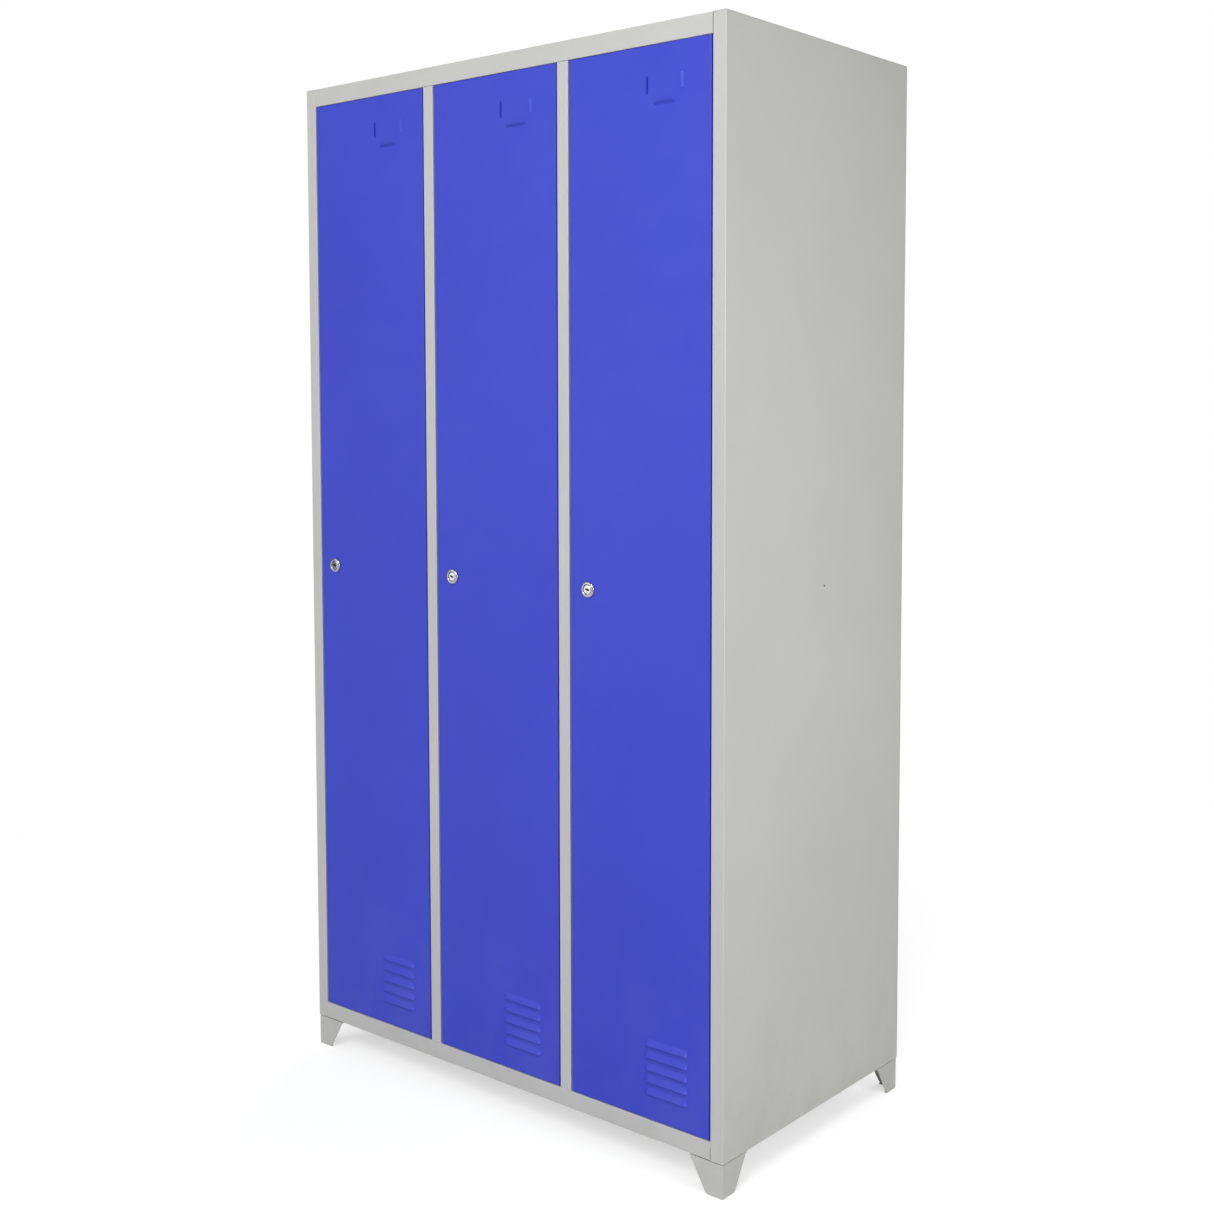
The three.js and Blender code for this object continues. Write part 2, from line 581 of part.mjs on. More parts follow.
// The turning plug, with its keyway level at rest, and the square tail that carries the cam.
function lockPlug() {
  const profile = [
    [0, -2.8],
    [6.8, -2.8],
    [7.3, -2.4],
    [7.3, -1.9],
    [LOCK.plug, -1.9],
    [LOCK.plug, LOCK.length + 0.6],
    [0, LOCK.length + 0.6],
  ];
  const barrel = turned(profile, "y", [0, 0, 0], 20);
  const square = [-LOCK.tail, LOCK.tail];
  const tail = box(square, [LOCK.length, CAM.front + CAM.thickness + 0.3], square);
  const keyway = box([-4.2, 1.6], [-4, 6], [-0.7, 1.9]);
  const wardSlot = box([-1.6, 4.2], [-4, 6], [-1.9, 0.7]);
  const screwHole = rod(2.1, [LOCK.length - 6, LOCK.length + 8], "y", [0, 0, 0], 10);
  return cut(join(barrel, tail), keyway, wardSlot, screwHole);
}

// The hexagon nut that clamps the housing to the door's skin from inside.
function lockNut() {
  const acrossCorners = 13.6;
  const near = DOOR_SHEET + FIT;
  const hexagon = rod(acrossCorners, [near, near + 4], "y", [0, 0, 0], 6);
  return cut(hexagon, rod(LOCK.thread + 0.4, [near - 1, near + 5], "y", [0, 0, 0], 24));
}

// The cam. It hangs down at rest, and a quarter turn brings it behind the stop lip.
function lockCam() {
  const half = CAM.width / 2;
  const boss = 9;
  const shoulder = Math.asin(half / boss);
  const shape = new THREE.Shape();
  shape.absarc(0, 0, boss, -Math.PI / 2 + shoulder, 1.5 * Math.PI - shoulder, false);
  shape.lineTo(-half, -CAM.length + CAM.corner);
  shape.lineTo(-half + CAM.corner, -CAM.length);
  shape.lineTo(half - CAM.corner, -CAM.length);
  shape.lineTo(half, -CAM.length + CAM.corner);
  const square = LOCK.tail + FIT;
  const hole = box([-square, square], [CAM.front - 1, CAM.front + 5], [-square, square]);
  return cut(prism(shape, "xz", [CAM.front, CAM.front + CAM.thickness]), hole);
}

// The screw that holds the cam on the plug's tail.
function camScrew() {
  const seat = CAM.front + CAM.thickness + 0.6;
  const head = turned([[0, seat], [6, seat], [6, seat + 1.4], [3.5, seat + 2.8], [0, seat + 2.8]], "y",
    [0, 0, 0], 12);
  const shank = rod(1.7, [LOCK.length - 5, seat + 1], "y", [0, 0, 0], 10);
  const slot = box([-7, 7], [seat + 1.6, seat + 4], [-0.5, 0.5]);
  return cut(join(head, shank), slot);
}

// ---------- assembly ----------
const locker = new THREE.Group();

function add(group, name, made, material, position = [0, 0, 0]) {
  const mesh = new THREE.Mesh(made.isBufferGeometry ? made : geometryOf(made), MATERIALS[material]);
  mesh.name = name;
  mesh.position.set(...position);
  group.add(mesh);
  return mesh;
}

add(locker, "side_panel_left", sidePanel(-1), "greyPaint");
add(locker, "side_panel_right", sidePanel(1), "greyPaint");
add(locker, "roof_panel", roofPanel(), "greyPaint");
add(locker, "floor_panel", floorPanel(), "greyPaint");
add(locker, "back_panel", backPanel(), "greyPaint");
mullions.forEach((middle, i) => add(locker, `partition_${i + 1}`, partition(middle), "greyPaint"));

const footShape = geometryOf(cornerFoot());
const boltShape = geometryOf(footBolt());
const CORNERS = { front_left: [-1, -1], front_right: [1, -1], rear_left: [-1, 1], rear_right: [1, 1] };
Object.entries(CORNERS).forEach(([corner, [sx, sy]]) => {
  const foot = add(locker, `foot_${corner}`, footShape, "greyPaint",
    [sx * (RIGHT - FOOT.inset), sy * (BACK - FOOT.inset), 0]);
  foot.scale.set(-sx, -sy, 1);
  add(locker, `foot_bolt_${corner}`, boltShape, "zincPlate",
    [sx * (RIGHT - FOOT_BOLT.fromCorner), sy * (BACK - FOOT_BOLT.fromCorner), 0]);
});

const doorShape = geometryOf(doorPanel());
const stiffenerShape = geometryOf(doorStiffener());
const hookShape = geometryOf(coatHook());
const bufferShape = geometryOf(doorBuffer());
const topPinShape = geometryOf(hingePin(0));
const bottomPinShape = geometryOf(hingePin(GAP_BELOW - 2 * FIT));
const LOCK_PIECES = [
  ["lock_body", geometryOf(lockBody()), "chrome"],
  ["lock_plug", geometryOf(lockPlug()), "chrome"],
  ["lock_nut", geometryOf(lockNut()), "zincPlate"],
  ["lock_cam", geometryOf(lockCam()), "zincPlate"],
  ["cam_screw", geometryOf(camScrew()), "zincPlate"],
];

range(COMPARTMENTS).forEach((i) => {
  const number = i + 1;
  const middle = (bayLeft(i) + bayRight(i)) / 2;
  add(locker, `hat_shelf_${number}`, hatShelf(i), "greyPaint");
  add(locker, `coat_rail_${number}`, coatRail(i), "zincPlate", [0, 0, RAIL_HEIGHT]);
  ["left", "right"].forEach((hand, k) => {
    const x = middle + (k - 0.5) * HOOK_SPACING;
    add(locker, `coat_hook_${number}_${hand}`, hookShape, "blackPlastic", [x, 0, RAIL_HEIGHT]);
  });

  const pinBehind = FIT;
  add(locker, `hinge_pin_bottom_${number}`, bottomPinShape, "zincPlate",
    [pivotX(i), PIVOT_Y, FLOOR_TOP - SHEET - pinBehind]);
  const topPin = add(locker, `hinge_pin_top_${number}`, topPinShape, "zincPlate",
    [pivotX(i), PIVOT_Y, RAIL_UNDERSIDE + SHEET + pinBehind]);
  topPin.rotation.x = Math.PI;
  Object.entries({ lower: 300, upper: 1450 }).forEach(([level, z]) => {
    const x = openingLeft(i) + STOP_LIP / 2 + 0.5;
    add(locker, `door_buffer_${level}_${number}`, bufferShape, "rubber", [x, LIP_FACE - FIT, z]);
  });

  const door = new THREE.Group();
  door.position.set(doorLeft(i), FRONT, DOOR_BOTTOM);
  locker.add(door);
  add(door, `door_panel_${number}`, doorShape, "bluePaint");
  add(door, `door_stiffener_${number}`, stiffenerShape, "bluePaint");
  LOCK_PIECES.forEach(([name, shape, material]) =>
    add(door, `${name}_${number}`, shape, material, [LOCK_FROM_EDGE, 0, LOCK_HEIGHT - DOOR_BOTTOM]));
});

export default locker;
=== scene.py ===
"""A three-door steel clothes locker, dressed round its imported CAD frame.

Sizes in this file are millimetres in the frame's axes (+X right, +Y back, +Z up, floor at z = 0),
and MM turns them into Blender's metres.
"""
import json
import math

import bmesh
import bpy
from mathutils import Matrix, Vector

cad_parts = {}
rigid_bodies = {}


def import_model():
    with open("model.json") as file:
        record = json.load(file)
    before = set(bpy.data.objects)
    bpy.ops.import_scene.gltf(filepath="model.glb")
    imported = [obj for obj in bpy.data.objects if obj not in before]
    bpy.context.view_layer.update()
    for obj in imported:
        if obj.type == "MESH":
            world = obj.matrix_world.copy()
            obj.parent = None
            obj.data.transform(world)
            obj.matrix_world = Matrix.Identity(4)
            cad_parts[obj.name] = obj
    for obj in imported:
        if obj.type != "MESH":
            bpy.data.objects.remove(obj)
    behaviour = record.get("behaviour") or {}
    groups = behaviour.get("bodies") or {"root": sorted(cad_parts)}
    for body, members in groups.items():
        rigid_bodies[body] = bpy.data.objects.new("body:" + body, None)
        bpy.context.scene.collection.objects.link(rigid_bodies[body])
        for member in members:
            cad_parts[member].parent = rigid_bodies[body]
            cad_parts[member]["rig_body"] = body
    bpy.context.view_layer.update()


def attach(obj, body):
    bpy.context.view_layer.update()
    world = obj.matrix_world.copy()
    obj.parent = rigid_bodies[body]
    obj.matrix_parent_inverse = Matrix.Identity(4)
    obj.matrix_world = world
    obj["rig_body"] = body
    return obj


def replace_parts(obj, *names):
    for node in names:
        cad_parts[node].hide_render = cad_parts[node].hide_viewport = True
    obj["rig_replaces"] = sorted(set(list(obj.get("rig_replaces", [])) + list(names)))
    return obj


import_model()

MM = 0.001

# ---------- sizes that the CAD frame shares ----------
WIDTH, DEPTH, HEIGHT = 900, 500, 1700
FOOT_HEIGHT = 53
COMPARTMENTS = 3

SHEET = 0.8  # carcass steel
BEND = 1.2  # outer radius of a carcass fold
FIT = 0.3  # gap kept between pieces that touch
SEAM = 0.5  # visible joint between two frame members
FOOT_JOINT = 1.6  # visible joint above a foot

STILE, MULLION, TOP_RAIL, BOTTOM_RAIL = 23, 22, 30, 28
RETURN_DEPTH = 20.5  # how far the frame folds back beside a door
STOP_LIP = 12  # the fold that a door's lock edge closes on
REAR_FLANGE = 15
BASE_FLANGE = 40  # the side panel's foot-mounting flange

DOOR_GAP, GAP_ABOVE, GAP_BELOW = 2.5, 0.8, 1.3
DOOR_THICKNESS = 18
DOOR_SHEET = 1
DOOR_BEND = 1.2
DOOR_HEM = 10  # the return along a door's two long edges
PIVOT_FROM_EDGE, PIVOT_FROM_FACE = 6, 5.5

SHELF_TOP, SHELF_LIP, SHELF_SETBACK = 1400, 18, 9.5
RAIL_HEIGHT = 1345
RAIL_SECTION = {"high": 30, "deep": 15, "wall": 1.2}
HOOK_SPACING = 140
HOOK_THICKNESS = 8
BUFFER_HEIGHTS = {"lower": 300, "upper": 1450}
LOCK_FROM_EDGE, LOCK_HEIGHT = 36, 874
LINK_HOLE = {"radius": 2, "from_front": 262, "height": 875}
BOLT_FROM_CORNER = 29
BOLT_HOLE, PIN_HOLE, LOCK_HOLE = 3.5, 3, 9.4  # radii

FRONT, BACK, RIGHT = -DEPTH / 2, DEPTH / 2, WIDTH / 2
ROOF_UNDERSIDE = HEIGHT - SHEET
FLOOR_TOP = FOOT_HEIGHT + BOTTOM_RAIL
RAIL_UNDERSIDE = HEIGHT - TOP_RAIL
LIP_FACE = FRONT + RETURN_DEPTH
REAR_FACE = BACK - SHEET - FIT
OPENING = (WIDTH - 2 * STILE - (COMPARTMENTS - 1) * MULLION) / COMPARTMENTS
PITCH = OPENING + MULLION
DOOR_WIDTH = OPENING - 2 * DOOR_GAP
DOOR_BOTTOM = FLOOR_TOP + GAP_BELOW
DOOR_HEIGHT = RAIL_UNDERSIDE - FLOOR_TOP - GAP_ABOVE - GAP_BELOW
OPENING_LEFTS = [-RIGHT + STILE + i * PITCH for i in range(COMPARTMENTS)]
MULLION_MIDDLES = [left + OPENING + MULLION / 2 for left in OPENING_LEFTS[:-1]]
BAY_LEFTS = [-RIGHT + SHEET] + [x + SHEET / 2 for x in MULLION_MIDDLES]
BAY_RIGHTS = [x - SHEET / 2 for x in MULLION_MIDDLES] + [RIGHT - SHEET]


# ---------- materials ----------
def linear(red, green, blue):
    """An sRGB colour given from 0 to 255, as linear RGBA."""
    def channel(value):
        share = value / 255
        return share / 12.92 if share <= 0.04045 else ((share + 0.055) / 1.055) ** 2.4
    return (channel(red), channel(green), channel(blue), 1)


def set_or_link(tree, socket, value):
    """Sets a socket to a constant, or links another node's output to it."""
    if isinstance(value, bpy.types.NodeSocket):
        tree.links.new(value, socket)
    else:
        socket.default_value = value


class Nodes:
    """A material's node tree, with short calls for the nodes used here."""
    COLOUR_MIX_INPUTS = (0, 6, 7)  # a Mix node's sockets in RGBA mode: factor, A and B
    COLOUR_MIX_OUTPUT = 2

    def __init__(self, name):
        self.material = bpy.data.materials.new(name)
        self.material.use_nodes = True
        self.tree = self.material.node_tree
        self.shader = self.tree.nodes["Principled BSDF"]
        self.place = self.add("ShaderNodeTexCoord").outputs["Object"]

    def add(self, kind, inputs=None, **settings):
        node = self.tree.nodes.new(kind)
        for key, value in settings.items():
            setattr(node, key, value)
        for key, value in (inputs or {}).items():
            set_or_link(self.tree, node.inputs[key], value)
        return node

    def noise(self, scale, detail=3, roughness=0.5, stretch=(1, 1, 1)):
        """Noise with about `scale` features to the metre, stretched along the axes."""
        mapping = self.add("ShaderNodeMapping", {"Vector": self.place, "Scale": stretch})
        inputs = {"Vector": mapping.outputs[0], "Scale": scale, "Detail": detail, "Roughness": roughness}
        return self.add("ShaderNodeTexNoise", inputs).outputs["Fac"]

    def spread(self, value, low, high, to_low=0, to_high=1):
        """Value's range from low to high, stretched to the range from to_low to to_high."""
        inputs = {"Value": value, "From Min": low, "From Max": high, "To Min": to_low, "To Max": to_high}
        return self.add("ShaderNodeMapRange", inputs).outputs["Result"]

    def product(self, a, b):
        return self.add("ShaderNodeMath", {0: a, 1: b}, operation="MULTIPLY").outputs[0]

    def blend(self, share, a, b):
        """Colour a where share is 0 and colour b where it is 1."""
        node = self.add("ShaderNodeMix", data_type="RGBA")
        for socket, value in zip(self.COLOUR_MIX_INPUTS, (share, a, b)):
            set_or_link(self.tree, node.inputs[socket], value)
        return node.outputs[self.COLOUR_MIX_OUTPUT]

    def bump(self, height, distance, strength, normal=None):
        """A bumped normal. The distance is in metres, and a given normal is bumped further."""
        inputs = {"Height": height, "Distance": distance, "Strength": strength}
        if normal:
            inputs["Normal"] = normal
        return self.add("ShaderNodeBump", inputs).outputs["Normal"]

    def height_above_floor(self):
        return self.add("ShaderNodeSeparateXYZ", {"Vector": self.place}).outputs["Z"]

    def surface(self, colour, roughness, normal=None, **constants):
        """The finished material. A constant's underscores stand for the spaces in its socket's name."""
        set_or_link(self.tree, self.shader.inputs["Base Color"], colour)
        set_or_link(self.tree, self.shader.inputs["Roughness"], roughness)
        if normal:
            self.tree.links.new(normal, self.shader.inputs["Normal"])
        for key, value in constants.items():
            self.shader.inputs[key.replace("_", " ")].default_value = value
        return self.material


def powder_coat(name, colour, deep, pale, scuff):
    """Baked powder coat: fine orange peel, faint cloudiness, and scuffs and dust low down."""
    n = Nodes(name)
    cloud = n.spread(n.noise(3.5, detail=4), 0.3, 0.7)
    tone = n.blend(cloud, deep, pale)
    tone = n.blend(0.55, tone, colour)
    low = n.spread(n.height_above_floor(), 0.02, 0.45, 1, 0)
    haze = n.spread(n.noise(14, detail=6, roughness=0.6), 0.45, 0.75, 0, 0.3)
    marks = n.spread(n.noise(130, detail=6, roughness=0.7), 0.66, 0.76)
    worn = n.product(marks, n.spread(n.noise(7), 0.52, 0.72, 0, 0.16))
    dusty = n.product(low, haze)
    tone = n.blend(dusty, tone, scuff)
    tone = n.blend(worn, tone, scuff)
    peel = n.bump(n.noise(620, detail=2, roughness=0.45), 0.00012, 0.35)
    waves = n.bump(n.noise(5, detail=1), 0.0016, 0.35, normal=peel)
    sheen = n.spread(n.noise(24, detail=5), 0.3, 0.7, 0.4, 0.5)
    return n.surface(tone, sheen, waves, Specular_IOR_Level=0.5)


def chrome_plate():
    """Bright chrome with faint handling marks."""
    n = Nodes("chrome_plate")
    haze = n.spread(n.noise(350, detail=5), 0.35, 0.75, 0.06, 0.2)
    tint = n.blend(n.spread(n.noise(90), 0.3, 0.7), linear(226, 226, 228), linear(206, 207, 211))
    ripple = n.bump(n.noise(260, detail=2), 0.0001, 0.25)
    return n.surface(tint, haze, ripple, Metallic=1)


def zinc_plate():
    """Bright zinc on steel: a slightly spangled, slightly yellowed silver, brushed along the rail."""
    n = Nodes("zinc_plate")
    grain = n.noise(420, detail=4, stretch=(0.03, 1, 1))
    spangle = n.spread(n.noise(110, detail=6, roughness=0.65), 0.35, 0.68)
    tint = n.blend(spangle, linear(168, 170, 171), linear(196, 196, 190))
    haze = n.spread(grain, 0.3, 0.7, 0.26, 0.44)
    return n.surface(tint, haze, n.bump(grain, 0.00015, 0.4), Metallic=1)


def moulded_plastic():
    """Black moulded plastic with a spark-eroded texture and paler rubbed spots."""
    n = Nodes("moulded_plastic")
    rubbed = n.spread(n.noise(160, detail=5), 0.55, 0.75, 0, 0.6)
    tint = n.blend(rubbed, linear(34, 35, 37), linear(62, 63, 66))
    grit = n.bump(n.noise(1900, detail=3), 0.00012, 0.6)
    return n.surface(tint, n.spread(n.noise(70), 0.3, 0.7, 0.42, 0.6), grit)


def buffer_rubber():
    """Matt black rubber with a bloom of dust."""
    n = Nodes("buffer_rubber")
    bloom = n.spread(n.noise(420, detail=6), 0.45, 0.75, 0, 0.7)
    tint = n.blend(bloom, linear(24, 24, 25), linear(66, 65, 63))
    return n.surface(tint, n.spread(n.noise(220), 0.3, 0.7, 0.7, 0.9), n.bump(n.noise(900), 0.0001, 0.5))


def keyway_wafers_and_shade():
    """A near-black keyway fill: painted shade for the narrow slot, and the oily dark wafers that it partly
    stands for.
    """
    n = Nodes("keyway_wafers_and_shade")
    tint = n.blend(n.spread(n.noise(700), 0.35, 0.7), linear(12, 12, 13), linear(34, 31, 27))
    grit = n.bump(n.noise(1200), 0.0001, 0.4)
    return n.surface(tint, n.spread(n.noise(900), 0.3, 0.7, 0.6, 0.85), grit, Specular_IOR_Level=0.15)


PAINTS = {
    "grey_paint": powder_coat("grey_powder_coat", linear(206, 206, 202), linear(199, 199, 195),
                              linear(212, 212, 208), linear(172, 170, 162)),
    "blue_paint": powder_coat("blue_powder_coat", linear(56, 71, 211), linear(52, 66, 205),
                              linear(62, 78, 216), linear(94, 102, 198)),
    "chrome": chrome_plate(),
    "zinc_plate": zinc_plate(),
    "black_plastic": moulded_plastic(),
    "rubber": buffer_rubber(),
}
# painted shade: the near-black fill of each keyway, which also stands for its wafers
KEYWAY_WAFER_AND_SHADE_PAINT = keyway_wafers_and_shade()


# ---------- mesh tools ----------
def steps(count, low=0.0, high=1.0):
    """Evenly spaced values from low to high, both included."""
    return [low + (high - low) * i / (count - 1) for i in range(count)]


def arc(centre, radius, start, end, count):
    """Points of a circular arc, with its angles in degrees."""
    angles = [math.radians(a) for a in steps(count, start, end)]
    return [(centre[0] + radius * math.cos(a), centre[1] + radius * math.sin(a)) for a in angles]


def in_plane(plane, u, v, w):
    """The point (u, v) of a plane, at w along the third axis."""
    return {"xy": (u, v, w), "yz": (w, u, v), "xz": (u, w, v)}[plane]


def prism(outline, plane, low, high):
    """An outline in a plane, carried from low to high along the third axis, as a bmesh."""
    bm = bmesh.new()
    rings = [[bm.verts.new(in_plane(plane, u, v, w)) for u, v in outline] for w in (low, high)]
    for i in range(len(outline)):
        j = (i + 1) % len(outline)
        bm.faces.new((rings[0][i], rings[0][j], rings[1][j], rings[1][i]))
    bm.faces.new(rings[0][::-1])
    bm.faces.new(rings[1])
    bmesh.ops.recalc_face_normals(bm, faces=bm.faces)
    return bm


def box(x, y, z):
    """A box from three (low, high) pairs."""
    return prism([(x[0], y[0]), (x[1], y[0]), (x[1], y[1]), (x[0], y[1])], "xy", *z)


def round_axis(axis, u, v, along):
    """A point at a distance along an axis, and at (u, v) across it."""
    return {"x": (along, u, v), "y": (v, along, u), "z": (u, v, along)}[axis]


def turned(profile, axis, at=(0, 0, 0), segments=48):
    """A turned solid from a ring of (radius, distance along the axis) points."""
    bm = bmesh.new()
    angles = [2 * math.pi * k / segments for k in range(segments)]
    rings = []
    for radius, along in profile:
        if radius == 0:
            rings.append([bm.verts.new(round_axis(axis, 0, 0, along))] * segments)
        else:
            ring = [(radius * math.cos(a), radius * math.sin(a)) for a in angles]
            rings.append([bm.verts.new(round_axis(axis, u, v, along)) for u, v in ring])
    for near, far in zip(rings, rings[1:] + rings[:1]):
        for k in range(segments):
            corners = (near[k], near[(k + 1) % segments], far[(k + 1) % segments], far[k])
            unique = list(dict.fromkeys(corners))
            if len(unique) > 2:
                bm.faces.new(unique)
    bmesh.ops.recalc_face_normals(bm, faces=bm.faces)
    bmesh.ops.translate(bm, verts=bm.verts, vec=at)
    return bm


def rod(radius, low, high, axis, at=(0, 0, 0), segments=32):
    """A cylinder, or a prism with fewer sides, from low to high along an axis."""
    return turned([(0, low), (radius, low), (radius, high), (0, high)], axis, at, segments)


def softened(bm, width, segments=2, angle=50):
    """The same solid, with the edges that turn by more than the angle in degrees rounded off."""
    limit = math.radians(angle)
    edges = [e for e in bm.edges if e.is_manifold and e.calc_face_angle(0) > limit]
    bmesh.ops.bevel(bm, geom=edges, offset=width, segments=segments, profile=0.5, affect="EDGES",
                    clamp_overlap=True)
    return bm


def moved(bm, vector, scale=(1, 1, 1)):
    """The same solid mirrored or scaled about the origin, and then moved."""
    bmesh.ops.scale(bm, verts=bm.verts, vec=scale)
    bmesh.ops.translate(bm, verts=bm.verts, vec=vector)
    bmesh.ops.recalc_face_normals(bm, faces=bm.faces)
    return bm


def left_of(direction):
    """A direction in the plane, turned left by a right angle."""
    return Vector((-direction.y, direction.x))


def folded(path, side):
    """The cross-section of a sheet with square folds. The path runs along one face, and the metal lies on
    its left (side 1) or its right (side -1)."""
    points = [Vector(p) for p in path]
    direction = [(b - a).normalized() for a, b in zip(points, points[1:])]
    face = [points[0]]
    other = [points[0] + left_of(direction[0]) * side * SHEET]
    for point, before, after in zip(points[1:-1], direction, direction[1:]):
        turn = 1 if before.cross(after) > 0 else -1
        inner = BEND - SHEET
        face_radius, other_radius = (BEND, inner) if turn == side else (inner, BEND)
        centre = point - before * face_radius + left_of(before) * turn * face_radius
        for share in steps(6):
            spoke = left_of(before) * -turn
            spoke.rotate(Matrix.Rotation(turn * share * math.pi / 2, 2))
            face.append(centre + spoke * face_radius)
            other.append(centre + spoke * other_radius)
    face.append(points[-1])
    other.append(points[-1] + left_of(direction[-1]) * side * SHEET)
    return [tuple(p) for p in face + other[::-1]]


def plain_object(bm, name="tool"):
    """A scene object in metres from a bmesh in millimetres, which is used up."""
    mesh = bpy.data.meshes.new(name)
    bmesh.ops.scale(bm, verts=bm.verts, vec=(MM, MM, MM))
    bm.to_mesh(mesh)
    bm.free()
    thing = bpy.data.objects.new(name, mesh)
    bpy.context.collection.objects.link(thing)
    return thing


def boolean(bm, tools, operation):
    """A new bmesh: the first solid with the other solids cut from it or joined to it."""
    base = plain_object(bm)
    helpers = [plain_object(tool) for tool in tools]
    for helper in helpers:
        modifier = base.modifiers.new("boolean", "BOOLEAN")
        modifier.operation = operation
        modifier.solver = "EXACT"
        modifier.object = helper
    graph = bpy.context.evaluated_depsgraph_get()
    made = bpy.data.meshes.new_from_object(base.evaluated_get(graph))
    result = bmesh.new()
    result.from_mesh(made)
    bmesh.ops.scale(result, verts=result.verts, vec=(1 / MM, 1 / MM, 1 / MM))
    for thing in (base, *helpers):
        bpy.data.meshes.remove(thing.data)
    bpy.data.meshes.remove(made)
    return result


def cut(bm, *tools):
    """The first solid with the others cut from it."""
    return boolean(bm, tools, "DIFFERENCE")


def together(*solids):
    """One bmesh that holds all of these."""
    whole = bmesh.new()
    for bm in solids:
        mesh = bpy.data.meshes.new("part")
        bm.to_mesh(mesh)
        bm.free()
        whole.from_mesh(mesh)
        bpy.data.meshes.remove(mesh)
    return whole


def piece(name, bm, slot, body, replaces, material=None):
    """A finished piece of the locker, which rides on a body and may stand for CAD nodes. Its material is
    the slot's paint unless another is given."""
    thing = plain_object(bm, name)
    mesh = thing.data
    mesh.materials.append(material or PAINTS[slot])
    mesh.polygons.foreach_set("use_smooth", [True] * len(mesh.polygons))
    mesh.set_sharp_from_angle(angle=math.radians(38))
    weighted = thing.modifiers.new("weighted_normals", "WEIGHTED_NORMAL")
    weighted.keep_sharp = True
    weighted.weight = 90
    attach(thing, body)
    if replaces:
        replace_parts(thing, *replaces)
    return thing


def copied(source, name, offset, body, replaces):
    """A copy of a finished piece, moved by an offset in millimetres, on its own body."""
    twin = source.copy()
    twin.name = name
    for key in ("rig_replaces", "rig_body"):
        if key in twin:
            del twin[key]
    twin.parent = None
    twin.matrix_world = Matrix.Translation(Vector(offset) * MM) @ source.matrix_world
    bpy.context.collection.objects.link(twin)
    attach(twin, body)
    if replaces:
        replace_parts(twin, *replaces)
    return twin


# ---------- carcass ----------
CABINET = "cabinet"
NECK = RIGHT - STILE - SEAM  # half the length of a rail that fits between the two stiles
PANEL_TOP = ROOF_UNDERSIDE - FIT
FLANGE_DEPTH = (LIP_FACE + 1.5, REAR_FACE - 2)  # the stretch of a side or base flange along Y
PAST = 1  # how far a cutter runs past the metal
RAIL_OVERLAP = 10  # how far a front rail's section runs into its panel


def mirrored(section):
    """A cross-section's mirror image about X = 0."""
    return [(-u, v) for u, v in section]


def weld_dimple(at):
    """A cutter for the shallow round mark that spot welding leaves on a face that looks back."""
    lens = [(0, PAST), (3, PAST), (2.9, -0.02), (2.2, -0.2), (1.2, -0.3), (0, -0.32)]
    return turned(lens, "y", at, 20)


def bolt_place(side, end, z):
    """Where a foot's bolt stands: side -1 is left and 1 right, and end -1 is the front and 1 the rear."""
    return (side * (RIGHT - BOLT_FROM_CORNER), end * (BACK - BOLT_FROM_CORNER), z)


def side_panel(side):
    """A folded side: web, front stile, return beside the door, rear flange and base flange. The left one
    has a stop lip as well."""
    path = [(RIGHT - REAR_FLANGE, REAR_FACE), (RIGHT, REAR_FACE), (RIGHT, FRONT), (RIGHT - STILE, FRONT),
            (RIGHT - STILE, LIP_FACE)]
    has_lip = side < 0
    if has_lip:
        path.append((RIGHT - STILE - STOP_LIP, LIP_FACE))
    section = folded(path, -1)
    shell = prism(section if side > 0 else mirrored(section), "xy", FOOT_HEIGHT, PANEL_TOP)
    hole_at = (side * RIGHT, FRONT + LINK_HOLE["from_front"], LINK_HOLE["height"])
    tools = [rod(LINK_HOLE["radius"], -3, 3, "x", hole_at)]
    if has_lip:
        lip = (-RIGHT + STILE - SHEET - FIT, -RIGHT + STILE + STOP_LIP + PAST)
        depth = (LIP_FACE - FIT, LIP_FACE + SHEET + FIT)
        tools.append(box(lip, depth, (FOOT_HEIGHT - PAST, FLOOR_TOP + FIT)))
        tools.append(box(lip, depth, (RAIL_UNDERSIDE - FIT, HEIGHT)))
    flange_x = sorted((side * (RIGHT - BASE_FLANGE), side * (RIGHT - SHEET / 2)))
    flange = box(flange_x, FLANGE_DEPTH, (FOOT_HEIGHT, FOOT_HEIGHT + SHEET))
    bolt_holes = [rod(BOLT_HOLE, -2, 2, "z", bolt_place(side, end, FOOT_HEIGHT)) for end in (-1, 1)]
    return together(cut(shell, *tools), cut(flange, *bolt_holes))


def partition(middle):
    """A folded wall between two bays: rear flange, web, mullion and the stop lip of the door on its right."""
    half = SHEET / 2
    edge = MULLION / 2
    path = [(middle - half + REAR_FLANGE, REAR_FACE), (middle - half, REAR_FACE),
            (middle - half, LIP_FACE + SHEET), (middle - edge, LIP_FACE + SHEET), (middle - edge, FRONT),
            (middle + edge, FRONT), (middle + edge, LIP_FACE), (middle + edge + STOP_LIP, LIP_FACE)]
    web = prism(folded(path, 1), "xy", FLOOR_TOP + FIT, ROOF_UNDERSIDE - 2 * FIT - SHEET)
    notch = box((middle - MULLION, middle + MULLION + STOP_LIP), (FRONT - PAST, LIP_FACE + SHEET / 2),
                (RAIL_UNDERSIDE - SEAM, HEIGHT))
    return cut(web, notch)


def pivot_x(i):
    return OPENING_LEFTS[i] + DOOR_GAP + DOOR_WIDTH - PIVOT_FROM_EDGE


def pivot_holes(z):
    pivots = [(pivot_x(i), FRONT + PIVOT_FROM_FACE, z) for i in range(COMPARTMENTS)]
    return [rod(PIN_HOLE, -3, 3, "z", pivot) for pivot in pivots]


